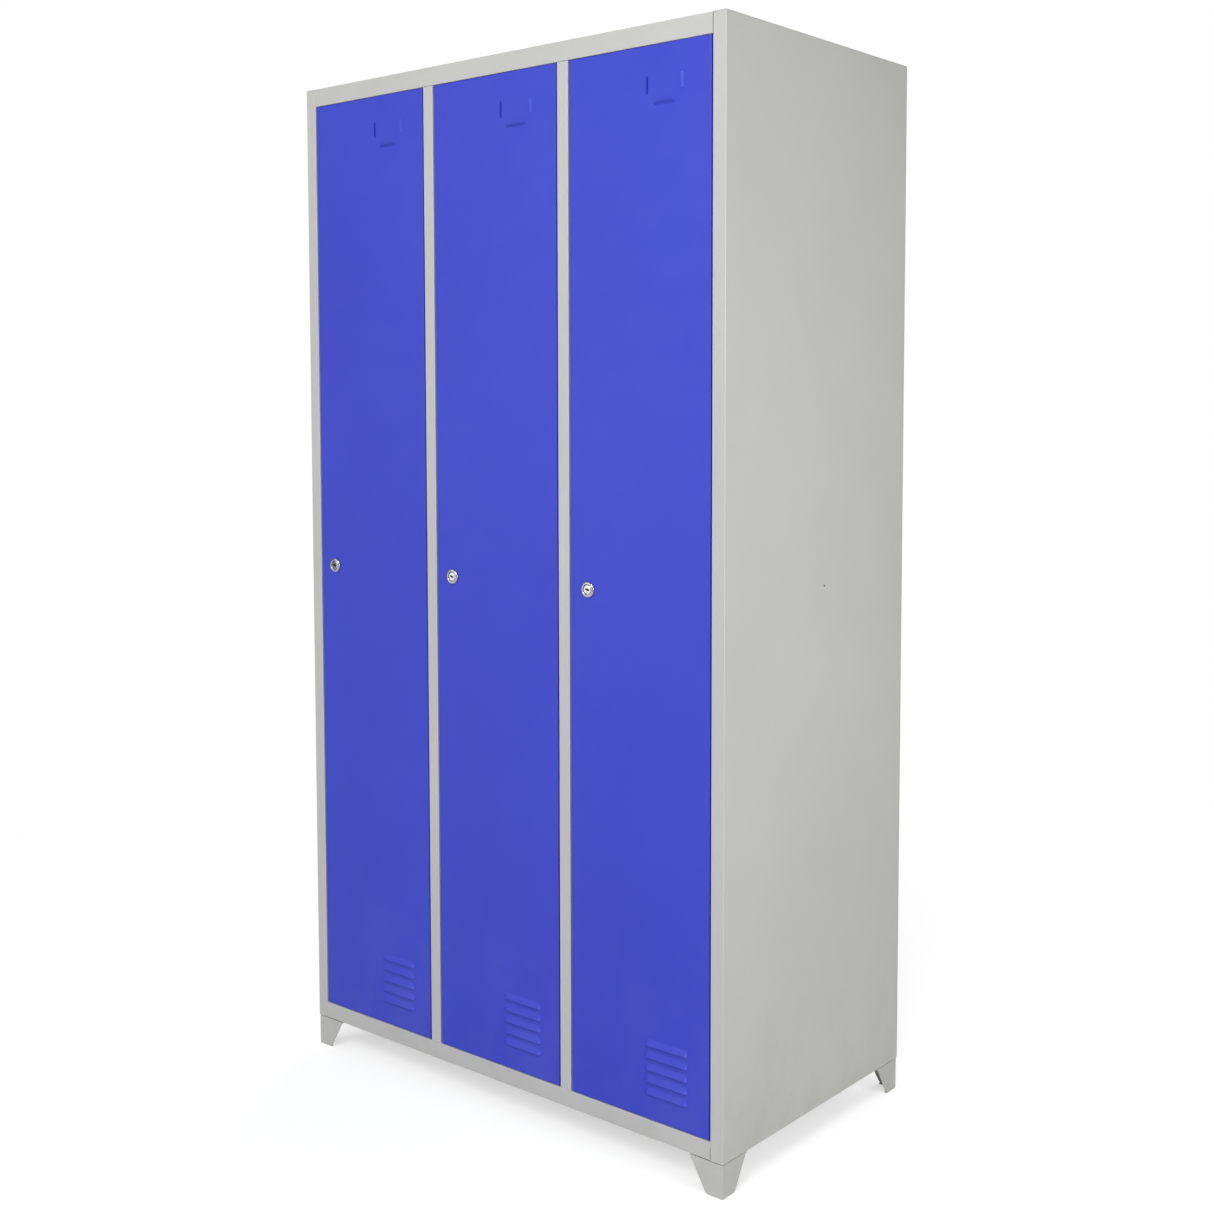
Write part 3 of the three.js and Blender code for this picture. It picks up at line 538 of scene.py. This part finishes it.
def side_flanges(underside):
    """The flanges that turn down from a panel inside the two side panels."""
    outer = RIGHT - SHEET - 2 * FIT
    z = (underside - REAR_FLANGE, underside + SHEET / 2)
    return [box((outer - SHEET, outer), FLANGE_DEPTH, z), box((-outer, -outer + SHEET), FLANGE_DEPTH, z)]


def roof_panel():
    """The roof, with the top rail folded down between the stiles and turned up behind the doors."""
    turn_up, nose = 10, FRONT + 2
    path = [(FRONT + RAIL_OVERLAP, HEIGHT), (FRONT, HEIGHT), (FRONT, RAIL_UNDERSIDE),
            (LIP_FACE - FIT, RAIL_UNDERSIDE), (LIP_FACE - FIT, RAIL_UNDERSIDE + turn_up)]
    rail = cut(prism(folded(path, 1), "yz", -NECK, NECK), *pivot_holes(RAIL_UNDERSIDE))
    plan = [(-RIGHT, FRONT), (-NECK, FRONT), (-NECK, nose), (NECK, nose), (NECK, FRONT), (RIGHT, FRONT),
            (RIGHT, BACK), (-RIGHT, BACK)]
    sheet = prism(plan, "xy", ROOF_UNDERSIDE, HEIGHT)
    return together(boolean(sheet, [rail], "UNION"), *side_flanges(ROOF_UNDERSIDE))


def floor_panel():
    """The compartments' floor, with the bottom rail folded down between the stiles and turned in."""
    turn_in, nose = 15, FRONT + RAIL_OVERLAP - SEAM
    path = [(FRONT + RAIL_OVERLAP, FLOOR_TOP), (FRONT, FLOOR_TOP), (FRONT, FOOT_HEIGHT),
            (FRONT + turn_in, FOOT_HEIGHT)]
    rail = cut(prism(folded(path, 1), "yz", -NECK, NECK), *pivot_holes(FLOOR_TOP - SHEET))
    half = RIGHT - SHEET - FIT
    shoulder, rear = LIP_FACE + FIT, REAR_FACE - SHEET - FIT
    plan = [(-NECK, nose), (NECK, nose), (NECK, shoulder), (half, shoulder), (half, rear), (-half, rear),
            (-half, shoulder), (-NECK, shoulder)]
    sheet = prism(plan, "xy", FLOOR_TOP - SHEET, FLOOR_TOP)
    return together(boolean(sheet, [rail], "UNION"), *side_flanges(FLOOR_TOP - SHEET))


def back_panel():
    """The back, flanged inward along its top and bottom, with spot welds along the flanges it closes."""
    flange, overlap = 14, 0.01
    path = [(BACK - flange, PANEL_TOP), (BACK, PANEL_TOP), (BACK, FOOT_HEIGHT), (BACK - flange, FOOT_HEIGHT)]
    narrow = RIGHT - BASE_FLANGE - 2
    centre = prism(folded(path, -1), "yz", -narrow, narrow)
    wings = [box(x, (BACK - SHEET, BACK), (FOOT_HEIGHT + BEND, PANEL_TOP - BEND))
             for x in ((-RIGHT, -narrow + overlap), (narrow - overlap, RIGHT))]
    onto_flange = 8
    weld_xs = [-RIGHT + onto_flange, *[x + onto_flange for x in MULLION_MIDDLES], RIGHT - onto_flange]
    dimples = [weld_dimple((x, BACK, z)) for x in weld_xs for z in steps(9, 130, 1630)]
    return cut(boolean(centre, wings, "UNION"), *dimples)


for side, hand in ((-1, "left"), (1, "right")):
    piece(f"side_{hand}", side_panel(side), "grey_paint", CABINET, [f"side_panel_{hand}"])
for i, middle in enumerate(MULLION_MIDDLES):
    piece(f"mullion_{i + 1}", partition(middle), "grey_paint", CABINET, [f"partition_{i + 1}"])
piece("roof", roof_panel(), "grey_paint", CABINET, ["roof_panel"])
piece("floor", floor_panel(), "grey_paint", CABINET, ["floor_panel"])
piece("back", back_panel(), "grey_paint", CABINET, ["back_panel"])


# ---------- feet ----------
FOOT = {"inset": 1, "wall": 1.5, "rim": 5, "top": 60, "knee": 35, "knee_height": 8, "toe": 29}
FOOT_TOP = FOOT_HEIGHT - FOOT_JOINT
BOLT_RADIUS, BOLT_CLEARANCE = 3, 3.2


def foot_outline(margin):
    """One face of a foot, drawn in by a margin. With a margin it is a cutter, which runs past the top."""
    top = FOOT_TOP + (PAST if margin else 0)
    return [(0, margin), (FOOT["toe"] - margin, margin), (FOOT["knee"] - margin, FOOT["knee_height"]),
            (FOOT["top"] - margin, top), (0, top)]


def corner_foot():
    """A pressed foot with its corner at the origin, running along +X and +Y."""
    wall, top = FOOT["wall"], FOOT["top"]
    outer = foot_outline(0)
    near, far = (-PAST, wall), (-PAST, top)
    hollow_x = cut(prism(foot_outline(wall), "xz", wall, top), box(near, far, far))
    hollow_y = cut(prism(foot_outline(wall), "yz", wall, top), box(far, near, far))
    shell = boolean(prism(outer, "xz", 0, FOOT["rim"]), [prism(outer, "yz", 0, FOOT["rim"])], "UNION")
    shell = softened(cut(shell, hollow_x, hollow_y), 0.6, 3)
    bore = (BOLT_FROM_CORNER - FOOT["inset"], BOLT_FROM_CORNER - FOOT["inset"], 0)
    edge, corner = 0.2, 22
    plan = [(edge, edge), (top, edge), (top, corner), (corner, top), (edge, top)]
    drill = (FOOT_TOP - 10, FOOT_TOP + PAST)
    plate = cut(prism(plan, "xy", FOOT_TOP - wall, FOOT_TOP), rod(BOLT_HOLE, *drill, "z", bore))
    nut = softened(rod(6, FOOT_TOP - 7, FOOT_TOP - 1, "z", bore, 6), 0.5)
    return together(shell, plate, cut(nut, rod(BOLT_CLEARANCE, *drill, "z", bore)))


def foot_bolt(at):
    """A hexagon bolt and its washer, which come down through the side panel's flange into the foot."""
    seat = FOOT_HEIGHT + SHEET + FIT
    under_head = seat + 1.1
    washer = turned([(BOLT_CLEARANCE, seat), (7, seat), (7, seat + 0.9), (6.7, under_head),
                     (BOLT_CLEARANCE, under_head)], "z", at)
    head = softened(rod(5.6, under_head, seat + 4, "z", at, 6), 0.35)
    tip, pitch, turns = FOOT_TOP - 11, 0.9, 14
    ridges = [(0, tip)]
    for k in range(turns):
        root = tip + 0.2 + k * pitch
        ridges += [(2.6, root), (BOLT_RADIUS, root + pitch / 2)]
    shank = turned([*ridges, (0, under_head)], "z", at, 24)
    return together(washer, head, shank)


CORNERS = {"front_left": (-1, -1), "front_right": (1, -1), "rear_left": (-1, 1), "rear_right": (1, 1)}
for corner, (sx, sy) in CORNERS.items():
    place = (sx * (RIGHT - FOOT["inset"]), sy * (BACK - FOOT["inset"]), 0)
    piece(f"corner_foot_{corner}", moved(corner_foot(), place, (-sx, -sy, 1)), "grey_paint", CABINET,
          [f"foot_{corner}"])
    piece(f"hex_bolt_{corner}", foot_bolt(bolt_place(sx, sy, 0)), "zinc_plate", CABINET,
          [f"foot_bolt_{corner}"])


# ---------- inside a compartment ----------
def oval(high, deep):
    """An upright oval with straight sides and round ends, about the origin."""
    radius = deep / 2
    shift = high / 2 - radius
    return arc((0, shift), radius, 0, 180, 14) + arc((0, -shift), radius, 180, 360, 14)


def raised(outline, z):
    """An outline in the yz plane, lifted by z."""
    return [(u, v + z) for u, v in outline]


def hat_shelf(i):
    """A shelf folded down along all four edges, and turned in along the front."""
    across = (BAY_LEFTS[i] + FIT, BAY_RIGHTS[i] - FIT)
    front, rear = LIP_FACE + SHELF_SETBACK, REAR_FACE - SHEET - FIT
    under = SHELF_TOP - SHELF_LIP
    turn_in = front + 12
    path = [(rear, under), (rear, SHELF_TOP), (front, SHELF_TOP), (front, under), (turn_in, under)]
    tray = prism(folded(path, 1), "yz", *across)
    depth = (turn_in, rear - BEND)
    sides = [box(x, depth, (under, SHELF_TOP - SHEET / 2))
             for x in ((across[0], across[0] + SHEET), (across[1] - SHEET, across[1]))]
    return together(tray, *sides)


def coat_rail(i):
    """An oval tube with a riveted flange at each end."""
    ends = (BAY_LEFTS[i] + FIT, BAY_RIGHTS[i] - FIT)
    high, deep, wall = RAIL_SECTION["high"], RAIL_SECTION["deep"], RAIL_SECTION["wall"]
    outer = raised(oval(high, deep), RAIL_HEIGHT)
    inner = raised(oval(high - 2 * wall, deep - 2 * wall), RAIL_HEIGHT)
    flange, flange_thickness, rivet_offset = raised(oval(56, 27), RAIL_HEIGHT), 1.5, 21.5
    rivet = [(0, -0.5), (3.2, -0.5), (3.2, 0), (2.6, 0.7), (1.5, 1.1), (0, 1.2)]
    parts = [cut(prism(outer, "yz", *ends), prism(inner, "yz", ends[0] - PAST, ends[1] + PAST))]
    for end, way in ((ends[0], 1), (ends[1], -1)):
        face = end + flange_thickness * way
        left, right = sorted((end, face))
        rim = softened(prism(flange, "yz", left, right), 0.5, 2, 60)
        parts.append(cut(rim, prism(inner, "yz", left - PAST, right + PAST)))
        for offset in (-rivet_offset, rivet_offset):
            at = (face, 0, RAIL_HEIGHT + offset)
            parts.append(turned([(radius, along * way) for radius, along in rivet], "x", at, 20))
    return together(*parts)


def coat_hook(x):
    """A moulded double hook: a collar round the rail, a stem and an anchor-shaped foot."""
    collar, shift = 11, 7.5
    stem, inner, outer, middle = 5, 19, 26, -42
    tip, tip_at = (outer - inner) / 2, (outer + inner) / 2
    at_collar = math.degrees(math.asin(stem / collar))
    at_stem = math.degrees(math.asin(stem / inner))
    outline = arc((0, -shift), collar, 270 + at_collar, 360, 10)
    outline += arc((0, shift), collar, 0, 180, 24)
    outline += arc((0, -shift), collar, 180, 270 - at_collar, 10)
    outline += arc((0, middle), inner, 270 - at_stem, 180, 14)
    outline += arc((-tip_at, middle), tip, 0, 180, 12)[1:]
    outline += arc((0, middle), outer, 180, 360, 36)[1:]
    outline += arc((tip_at, middle), tip, 0, 180, 12)[1:]
    outline += arc((0, middle), inner, 360, 270 + at_stem, 14)[1:]
    half = HOOK_THICKNESS / 2
    blank = prism(raised(outline, RAIL_HEIGHT), "yz", x - half, x + half)
    play = 1  # the eye's play round the rail, on its height and depth
    eye_outline = raised(oval(RAIL_SECTION["high"] + play, RAIL_SECTION["deep"] + play), RAIL_HEIGHT)
    eye = prism(eye_outline, "yz", x - half - 5, x + half + 5)
    return softened(cut(blank, eye), 1.1, 3)


def door_buffer(x, z):
    """A domed rubber button on a stop lip."""
    profile = [(0, -1.9), (3.2, -1.9), (3.9, -1.6), (4.4, -1.0), (4.8, 0), (0, 0)]
    return turned(profile, "y", (x, LIP_FACE - FIT, z), 32)


def hinge_pin(i, z, up, shoulder):
    """A headed pivot pin. Its head is behind the frame's sheet, and it runs up (up 1) or down (up -1) into
    the door. A shoulder carries the door's weight."""
    radius, head = 2.5, 4
    profile = [(0, -1.5), (3.6, -1.5), (head, -1.1), (head, 0), (radius, 0)]
    if shoulder:
        low, high = SHEET + 2 * FIT, SHEET + GAP_BELOW
        profile += [(radius, low), (head, low), (head, high), (radius, high)]
    profile += [(radius, 13.4), (1.7, 14.4), (0, 15)]
    at = (pivot_x(i), FRONT + PIVOT_FROM_FACE, z)
    return turned([(r, along * up) for r, along in profile], "z", at, 24)


for i in range(COMPARTMENTS):
    number = i + 1
    middle = (BAY_LEFTS[i] + BAY_RIGHTS[i]) / 2
    piece(f"shelf_{number}", hat_shelf(i), "grey_paint", CABINET, [f"hat_shelf_{number}"])
    piece(f"rail_{number}", coat_rail(i), "zinc_plate", CABINET, [f"coat_rail_{number}"])
    for hand, x in (("left", middle - HOOK_SPACING / 2), ("right", middle + HOOK_SPACING / 2)):
        body = f"coat_hook_{number}_{hand}"
        piece(f"hook_{number}_{hand}", coat_hook(x), "black_plastic", body, [body])
    piece(f"pivot_bottom_{number}", hinge_pin(i, FLOOR_TOP - SHEET - FIT, 1, True), "zinc_plate", CABINET,
          [f"hinge_pin_bottom_{number}"])
    piece(f"pivot_top_{number}", hinge_pin(i, RAIL_UNDERSIDE + SHEET + FIT, -1, False), "zinc_plate", CABINET,
          [f"hinge_pin_top_{number}"])
    for level, z in BUFFER_HEIGHTS.items():
        x = OPENING_LEFTS[i] + STOP_LIP / 2 + 0.5
        piece(f"buffer_{level}_{number}", door_buffer(x, z), "rubber", CABINET,
              [f"door_buffer_{level}_{number}"])


# ---------- doors ----------
# A door is drawn with the lower left corner of its front face at the origin, and then moved.
LOUVRE = {"count": 5, "pitch": 18.6, "length": 80, "reach": 10.5, "rise": 4.6,
          "from_right": 78, "lowest": 40}
CARD = {"from_right": 83, "half_mouth": 31, "side_top": 42, "base": 82}
SIDE_TAB = {"length": 28, "reach": 5, "rise": 1.8}
BASE_TAB = {"length": 41, "reach": 5, "rise": 3.6}
STIFFENER = {"middle": 86, "half": 14, "flange": 10}


def rounded_end(distance):
    """1 along a hood, falling like a quarter circle to its end."""
    radius = 7
    return 1 if distance >= radius else math.sqrt(max(0.004, 1 - (1 - distance / radius) ** 2))


def sloping_end(distance):
    """1 along a tab, falling in a straight slope to its end."""
    return max(0.05, min(1, distance / 3))


def rim_of(grid):
    """The vertices round a grid's edge, in order."""
    first_side, last_side = [row[0] for row in grid], [row[-1] for row in grid]
    return first_side + grid[-1][1:] + last_side[::-1][1:] + grid[0][::-1][1:-1]


def hood(size, toward, at, end):
    """A pressed hood on the door's face, as a thin curved shell. Its mouth is a line through `at`, and it
    runs back to the sheet `reach` away in the direction `toward`, which is (x, z)."""
    length, reach, rise = size["length"], size["reach"], size["rise"]
    metal, sunk = 0.9, 0.12
    along = (abs(toward[1]), abs(toward[0]))
    bm = bmesh.new()
    across = [length / 2 * math.sin(a) for a in steps(45, -math.pi / 2, math.pi / 2)]
    layers = []
    for inset in (0, metal):
        grid = []
        for u in across:
            full = end(length / 2 - abs(u))
            row = []
            for share in steps(12):
                v = share * reach * full
                x, z = [at[k] + u * along[k] + v * toward[k] for k in (0, 1)]
                y = sunk - (rise + sunk) * full * (1 - share) ** 1.5 + inset
                row.append(bm.verts.new((x, y, z)))
            grid.append(row)
        layers.append(grid)
    for grid in layers:
        for a, b in zip(grid, grid[1:]):
            for k in range(len(a) - 1):
                bm.faces.new((a[k], a[k + 1], b[k + 1], b[k]))
    outside, inside = rim_of(layers[0]), rim_of(layers[1])
    for k in range(len(outside)):
        j = (k + 1) % len(outside)
        bm.faces.new((outside[k], outside[j], inside[j], inside[k]))
    bmesh.ops.recalc_face_normals(bm, faces=bm.faces)
    return bm


def slit(size, toward, at):
    """A cutter for the hole in the sheet behind a hood."""
    half, deep = size["length"] / 2 - 3.5, size["reach"] * 0.72
    ranges = []
    for middle, way in zip(at, toward):
        ranges.append(sorted((middle, middle + deep * way)) if way else (middle - half, middle + half))
    return box(ranges[0], (-PAST, 3), ranges[1])


def door_hoods():
    """(hood, slit) for each louvre and for the three tabs of the name-card holder."""
    louvre_x = DOOR_WIDTH - LOUVRE["from_right"]
    places = [(LOUVRE, (0, 1), (louvre_x, LOUVRE["lowest"] + k * LOUVRE["pitch"]), rounded_end)
              for k in range(LOUVRE["count"])]
    card_x = DOOR_WIDTH - CARD["from_right"]
    side_z = DOOR_HEIGHT - CARD["side_top"] - SIDE_TAB["length"] / 2
    places += [(SIDE_TAB, (way, 0), (card_x + way * CARD["half_mouth"], side_z), sloping_end)
               for way in (-1, 1)]
    places.append((BASE_TAB, (0, -1), (card_x, DOOR_HEIGHT - CARD["base"]), sloping_end))
    return [(hood(*place), slit(*place[:3])) for place in places]


def door_panel():
    """A folded pan, open behind within its hems, with its lock and pin holes, louvres and card tabs."""
    t = DOOR_SHEET
    shell = box((0, DOOR_WIDTH), (0, DOOR_THICKNESS), (0, DOOR_HEIGHT))
    front = [e for e in shell.edges if all(v.co.y == 0 for v in e.verts)]
    bmesh.ops.bevel(shell, geom=front, offset=DOOR_BEND, segments=5, profile=0.5, affect="EDGES")
    tall = (t, DOOR_HEIGHT - t)
    cavity = box((t, DOOR_WIDTH - t), (t, DOOR_THICKNESS - t), tall)
    mouth = box((DOOR_HEM, DOOR_WIDTH - DOOR_HEM), (t, DOOR_THICKNESS + PAST), tall)
    lock_hole = rod(LOCK_HOLE, -2, 3, "y", (LOCK_FROM_EDGE, 0, LOCK_HEIGHT - DOOR_BOTTOM))
    pivot = (DOOR_WIDTH - PIVOT_FROM_EDGE, PIVOT_FROM_FACE, 0)
    pin_holes = [rod(PIN_HOLE, z - 3, z + 3, "z", pivot) for z in (0, DOOR_HEIGHT)]
    pairs = door_hoods()
    pan = cut(shell, cavity, mouth, lock_hole, *pin_holes, *[hole for _, hole in pairs])
    return together(pan, *[metal for metal, _ in pairs])


def door_stiffener():
    """A hat section behind the skin, with the round marks of its spot welds."""
    middle, half, flange = STIFFENER["middle"], STIFFENER["half"], STIFFENER["flange"]
    left, right = middle - half, middle + half
    skin, crown = DOOR_SHEET + FIT, DOOR_THICKNESS - 1.6
    path = [(left - flange, skin), (left, skin), (left, crown), (right, crown), (right, skin),
            (right + flange, skin)]
    from_end = DOOR_SHEET + 1.3
    section = prism(folded(path, 1), "xy", from_end, DOOR_HEIGHT - from_end)
    weld_xs, weld_zs = (left - flange / 2, right + flange / 2), steps(9, 60, DOOR_HEIGHT - 60)
    return cut(section, *[weld_dimple((x, skin + SHEET, z)) for x in weld_xs for z in weld_zs])


# ---------- locks ----------
# A lock is drawn round its own axis, with y = 0 on the door's face, and then moved.
BEZEL, BARREL, THREAD_ROOT, BORE, PLUG = 12.5, 9, 8.55, 6.3, 6  # radii
BARREL_END = 21
CAM_FRONT = RETURN_DEPTH + SHEET + 1.5
KEYWAY = (((-4.2, 1.6), (-0.7, 1.9)), ((-1.6, 4.2), (-1.9, 0.7)))  # (x, z) ranges of two boxes


def lock_body():
    """The chromed housing: a domed and dished bezel on a threaded barrel."""
    crest, side, rise = 9.6, 1.3, 2.5
    dish_width, dish_depth = 1.6, 1.5
    dome = [(crest + (BEZEL - crest) * math.cos(a), -side - rise * math.sin(a))
            for a in steps(12, 0, math.pi / 2)]
    dish = [(crest - dish_width * math.sin(a), -side - rise + dish_depth * (1 - math.cos(a)))
            for a in steps(8, 0.2, math.pi / 2)]
    thread, pitch, turns = [], 1.1, 17
    for k in range(turns):
        root = BARREL_END - 0.6 - k * pitch
        thread += [(THREAD_ROOT, root), (BARREL, root - pitch / 2)]
    profile = [(BORE, BARREL_END), (8.5, BARREL_END), *thread, (BARREL, -FIT), (12.2, -FIT), (BEZEL, -0.6),
               *dome, *dish, (8, -0.4), (BORE, -0.4)]
    return turned(profile, "y", segments=64)


def lock_plug():
    """The turning plug with its keyway level, and the square tail that carries the cam."""
    end = BARREL_END + 0.6
    profile = [(0, -2.75), (6.2, -2.8), (6.9, -2.7), (7.2, -2.4), (7.3, -1.9), (PLUG, -1.9), (PLUG, end),
               (0, end)]
    square = (-3.9, 3.9)
    tail = box(square, (BARREL_END, CAM_FRONT + 2.3), square)
    keyway = [box(x, (-4, 6), z) for x, z in KEYWAY]
    return together(cut(turned(profile, "y", segments=56), *keyway), softened(tail, 0.3))


def keyway_shade_and_wafer_fill():
    """A dark solid that fills the keyway, just clear of its walls: painted shade in the slot, which also
    stands for its wafers and dirt.
    """
    clear = 0.05
    solids = []
    for x, z in KEYWAY:
        narrow, short = [(low + clear, high - clear) for low, high in (x, z)]
        solids.append(box(narrow, (-2.3, 5.9), short))
    return boolean(solids[0], solids[1:], "UNION")


def lock_nut():
    """The thin hexagon nut that clamps the housing from behind the door's sheet."""
    front = DOOR_SHEET + FIT
    blank = softened(rod(13.6, front, front + 4, "y", segments=6), 0.8, 3)
    return cut(blank, rod(LOCK_HOLE, 0, 7, "y"))


def lock_cam():
    """The flat cam: a round boss on the plug's tail, and an arm that hangs down from it at rest."""
    half, boss, length, corner = 7.5, 9, 33, 3
    shoulder = math.degrees(math.asin(half / boss))
    outline = arc((0, 0), boss, -90 + shoulder, 270 - shoulder, 30)
    outline += arc((-half + corner, -length + corner), corner, 180, 270, 6)
    outline += arc((half - corner, -length + corner), corner, 270, 360, 6)
    plate = prism(outline, "xz", CAM_FRONT, CAM_FRONT + 2)
    square = (-4.2, 4.2)
    hole = box(square, (CAM_FRONT - PAST, CAM_FRONT + 4), square)
    return softened(cut(plate, hole), 0.25)


def cam_screw():
    """The domed cross-head screw that holds the cam on the plug's tail."""
    seat = CAM_FRONT + 2.6
    dome = [(0, 0), (6, 0), (6, 1), (5, 1.9), (3.2, 2.6), (0, 2.8)]
    head = turned([(radius, seat + along) for radius, along in dome], "y", segments=40)
    long, narrow, slot_depth = (-3.4, 3.4), (-0.45, 0.45), (seat + 1.2, seat + 4)
    cross = [box(long, slot_depth, narrow), box(narrow, slot_depth, long)]
    shank = rod(1.7, BARREL_END - 5, seat + 0.5, "y")
    return together(cut(head, *cross), shank)


# name, function, slot, CAD node and body of each piece, without the door's number
DOOR_PIECES = (
    ("door", door_panel, "blue_paint", "door_panel", "door"),
    ("stiffener", door_stiffener, "blue_paint", "door_stiffener", "door"),
)
LOCK_PIECES = (
    ("housing", lock_body, "chrome", "lock_body", "door"),
    ("nut", lock_nut, "zinc_plate", "lock_nut", "door"),
    ("plug", lock_plug, "chrome", "lock_plug", "lock"),
    ("cam", lock_cam, "zinc_plate", "lock_cam", "lock"),
    ("cam_screw_head", cam_screw, "zinc_plate", "cam_screw", "lock"),
)


def for_each_door(name, bm, slot, node, body, material=None):
    """A door's piece, made for the first door and copied to the others."""
    nodes = [[f"{node}_{i + 1}"] if node else [] for i in range(COMPARTMENTS)]
    first = piece(f"{name}_1", bm, slot, f"{body}_1", nodes[0], material)
    for i in range(1, COMPARTMENTS):
        copied(first, f"{name}_{i + 1}", (i * PITCH, 0, 0), f"{body}_{i + 1}", nodes[i])


DOOR_PLACE = (OPENING_LEFTS[0] + DOOR_GAP, FRONT, DOOR_BOTTOM)
LOCK_PLACE = (DOOR_PLACE[0] + LOCK_FROM_EDGE, FRONT, LOCK_HEIGHT)
for name, make, slot, node, body in DOOR_PIECES:
    for_each_door(name, moved(make(), DOOR_PLACE), slot, node, body)
for name, make, slot, node, body in LOCK_PIECES:
    for_each_door(name, moved(make(), LOCK_PLACE), slot, node, body)
# Each keyway gets a near-black fill: painted shade in the slot, partly its wafers and dirt.
for_each_door("keyway_shade_and_wafer_fill", moved(keyway_shade_and_wafer_fill(), LOCK_PLACE), "chrome", None, "lock", KEYWAY_WAFER_AND_SHADE_PAINT)


# ---------- camera, floor and light, in metres ----------
CAMERA = {"place": (1.763, -2.071, 1.155), "yaw": 40.04, "pitch": -3.805, "roll": -0.1, "lens": 47.19,
          "shift_y": -0.08}
# place, target, size and power of each area light
LIGHTS = {
    "key_light": ((1.5, -3.5, 3.5), (0, 0, 0.8), (1.8, 2.0), 106),
    "fill_light": ((-2.4, -3.9, 1.6), (0.1, 0, 1.1), (2.6, 2.9), 26),
    "side_light": ((1.9, -0.4, 1.1), (0.45, 0, 1.0), (0.8, 0.8), 10.5),
    "back_light": ((-1.3, 3.7, 2.8), (-0.1, 0, 1.0), (2.4, 2.4), 70),
}


def make_camera():
    """A view from the front right at chest height. Its angles are in degrees: yaw turns it left from +Y,
    pitch raises it, and roll tips it."""
    yaw, pitch, roll = [math.radians(CAMERA[angle]) for angle in ("yaw", "pitch", "roll")]
    forward = Vector((-math.sin(yaw) * math.cos(pitch), math.cos(yaw) * math.cos(pitch), math.sin(pitch)))
    level = Vector((math.cos(yaw), math.sin(yaw), 0))
    upright = level.cross(forward)
    right = math.cos(roll) * level + math.sin(roll) * upright
    up = -math.sin(roll) * level + math.cos(roll) * upright
    data = bpy.data.cameras.new("camera")
    data.lens = CAMERA["lens"]
    data.sensor_width = 36
    data.shift_y = CAMERA["shift_y"]
    camera = bpy.data.objects.new("camera", data)
    bpy.context.collection.objects.link(camera)
    rotation = Matrix((right, up, -forward)).transposed().to_4x4()
    camera.matrix_world = Matrix.Translation(Vector(CAMERA["place"])) @ rotation
    bpy.context.scene.camera = camera


def area_light(name, place, target, size, power):
    """A rectangular light that faces a target."""
    data = bpy.data.lights.new(name, "AREA")
    data.shape = "RECTANGLE"
    data.size, data.size_y = size
    data.energy = power
    light = bpy.data.objects.new(name, data)
    bpy.context.collection.objects.link(light)
    light.location = place
    light.rotation_euler = (Vector(target) - Vector(place)).to_track_quat("-Z", "Y").to_euler()


def make_floor():
    """A pale floor, which fades to the white background away from the locker."""
    bpy.ops.mesh.primitive_plane_add(size=60, location=(0, 0, 0))
    floor = bpy.context.object
    floor.name = "studio_floor"
    n = Nodes("studio_floor")
    n.surface((0.72, 0.72, 0.72, 1), n.spread(n.noise(2), 0.3, 0.7, 0.75, 0.85), Specular_IOR_Level=0.1)
    distance = n.add("ShaderNodeVectorMath", {0: n.place}, operation="LENGTH").outputs["Value"]
    white = n.add("ShaderNodeEmission", {"Color": (1, 1, 1, 1), "Strength": 1})
    glow = n.add("ShaderNodeEmission", {"Color": (1, 1, 1, 1), "Strength": 0.55})
    lifted = n.add("ShaderNodeAddShader", {0: n.shader.outputs[0], 1: glow.outputs[0]})
    faded = n.add("ShaderNodeMixShader", {0: n.spread(distance, 0.7, 2.6), 1: lifted.outputs[0],
                                          2: white.outputs[0]})
    seen = n.add("ShaderNodeMixShader", {0: n.add("ShaderNodeLightPath").outputs["Is Camera Ray"],
                                         1: n.shader.outputs[0], 2: faded.outputs[0]})
    n.tree.links.new(seen.outputs[0], n.tree.nodes["Material Output"].inputs["Surface"])
    floor.data.materials.append(n.material)


def make_world():
    """Faint even light all round, and a white background in front of the camera."""
    world = bpy.data.worlds.new("studio")
    bpy.context.scene.world = world
    world.use_nodes = True
    tree = world.node_tree
    lit = tree.nodes["Background"]
    lit.inputs["Color"].default_value = (0.98, 0.99, 1, 1)
    lit.inputs["Strength"].default_value = 0.25
    seen = tree.nodes.new("ShaderNodeBackground")
    seen.inputs["Color"].default_value = (1, 1, 1, 1)
    path = tree.nodes.new("ShaderNodeLightPath")
    mix = tree.nodes.new("ShaderNodeMixShader")
    tree.links.new(path.outputs["Is Camera Ray"], mix.inputs[0])
    tree.links.new(lit.outputs[0], mix.inputs[1])
    tree.links.new(seen.outputs[0], mix.inputs[2])
    tree.links.new(mix.outputs[0], tree.nodes["World Output"].inputs[0])


make_camera()
make_floor()
make_world()
for name, settings in LIGHTS.items():
    area_light(name, *settings)
bpy.context.scene.view_settings.view_transform = "Standard"
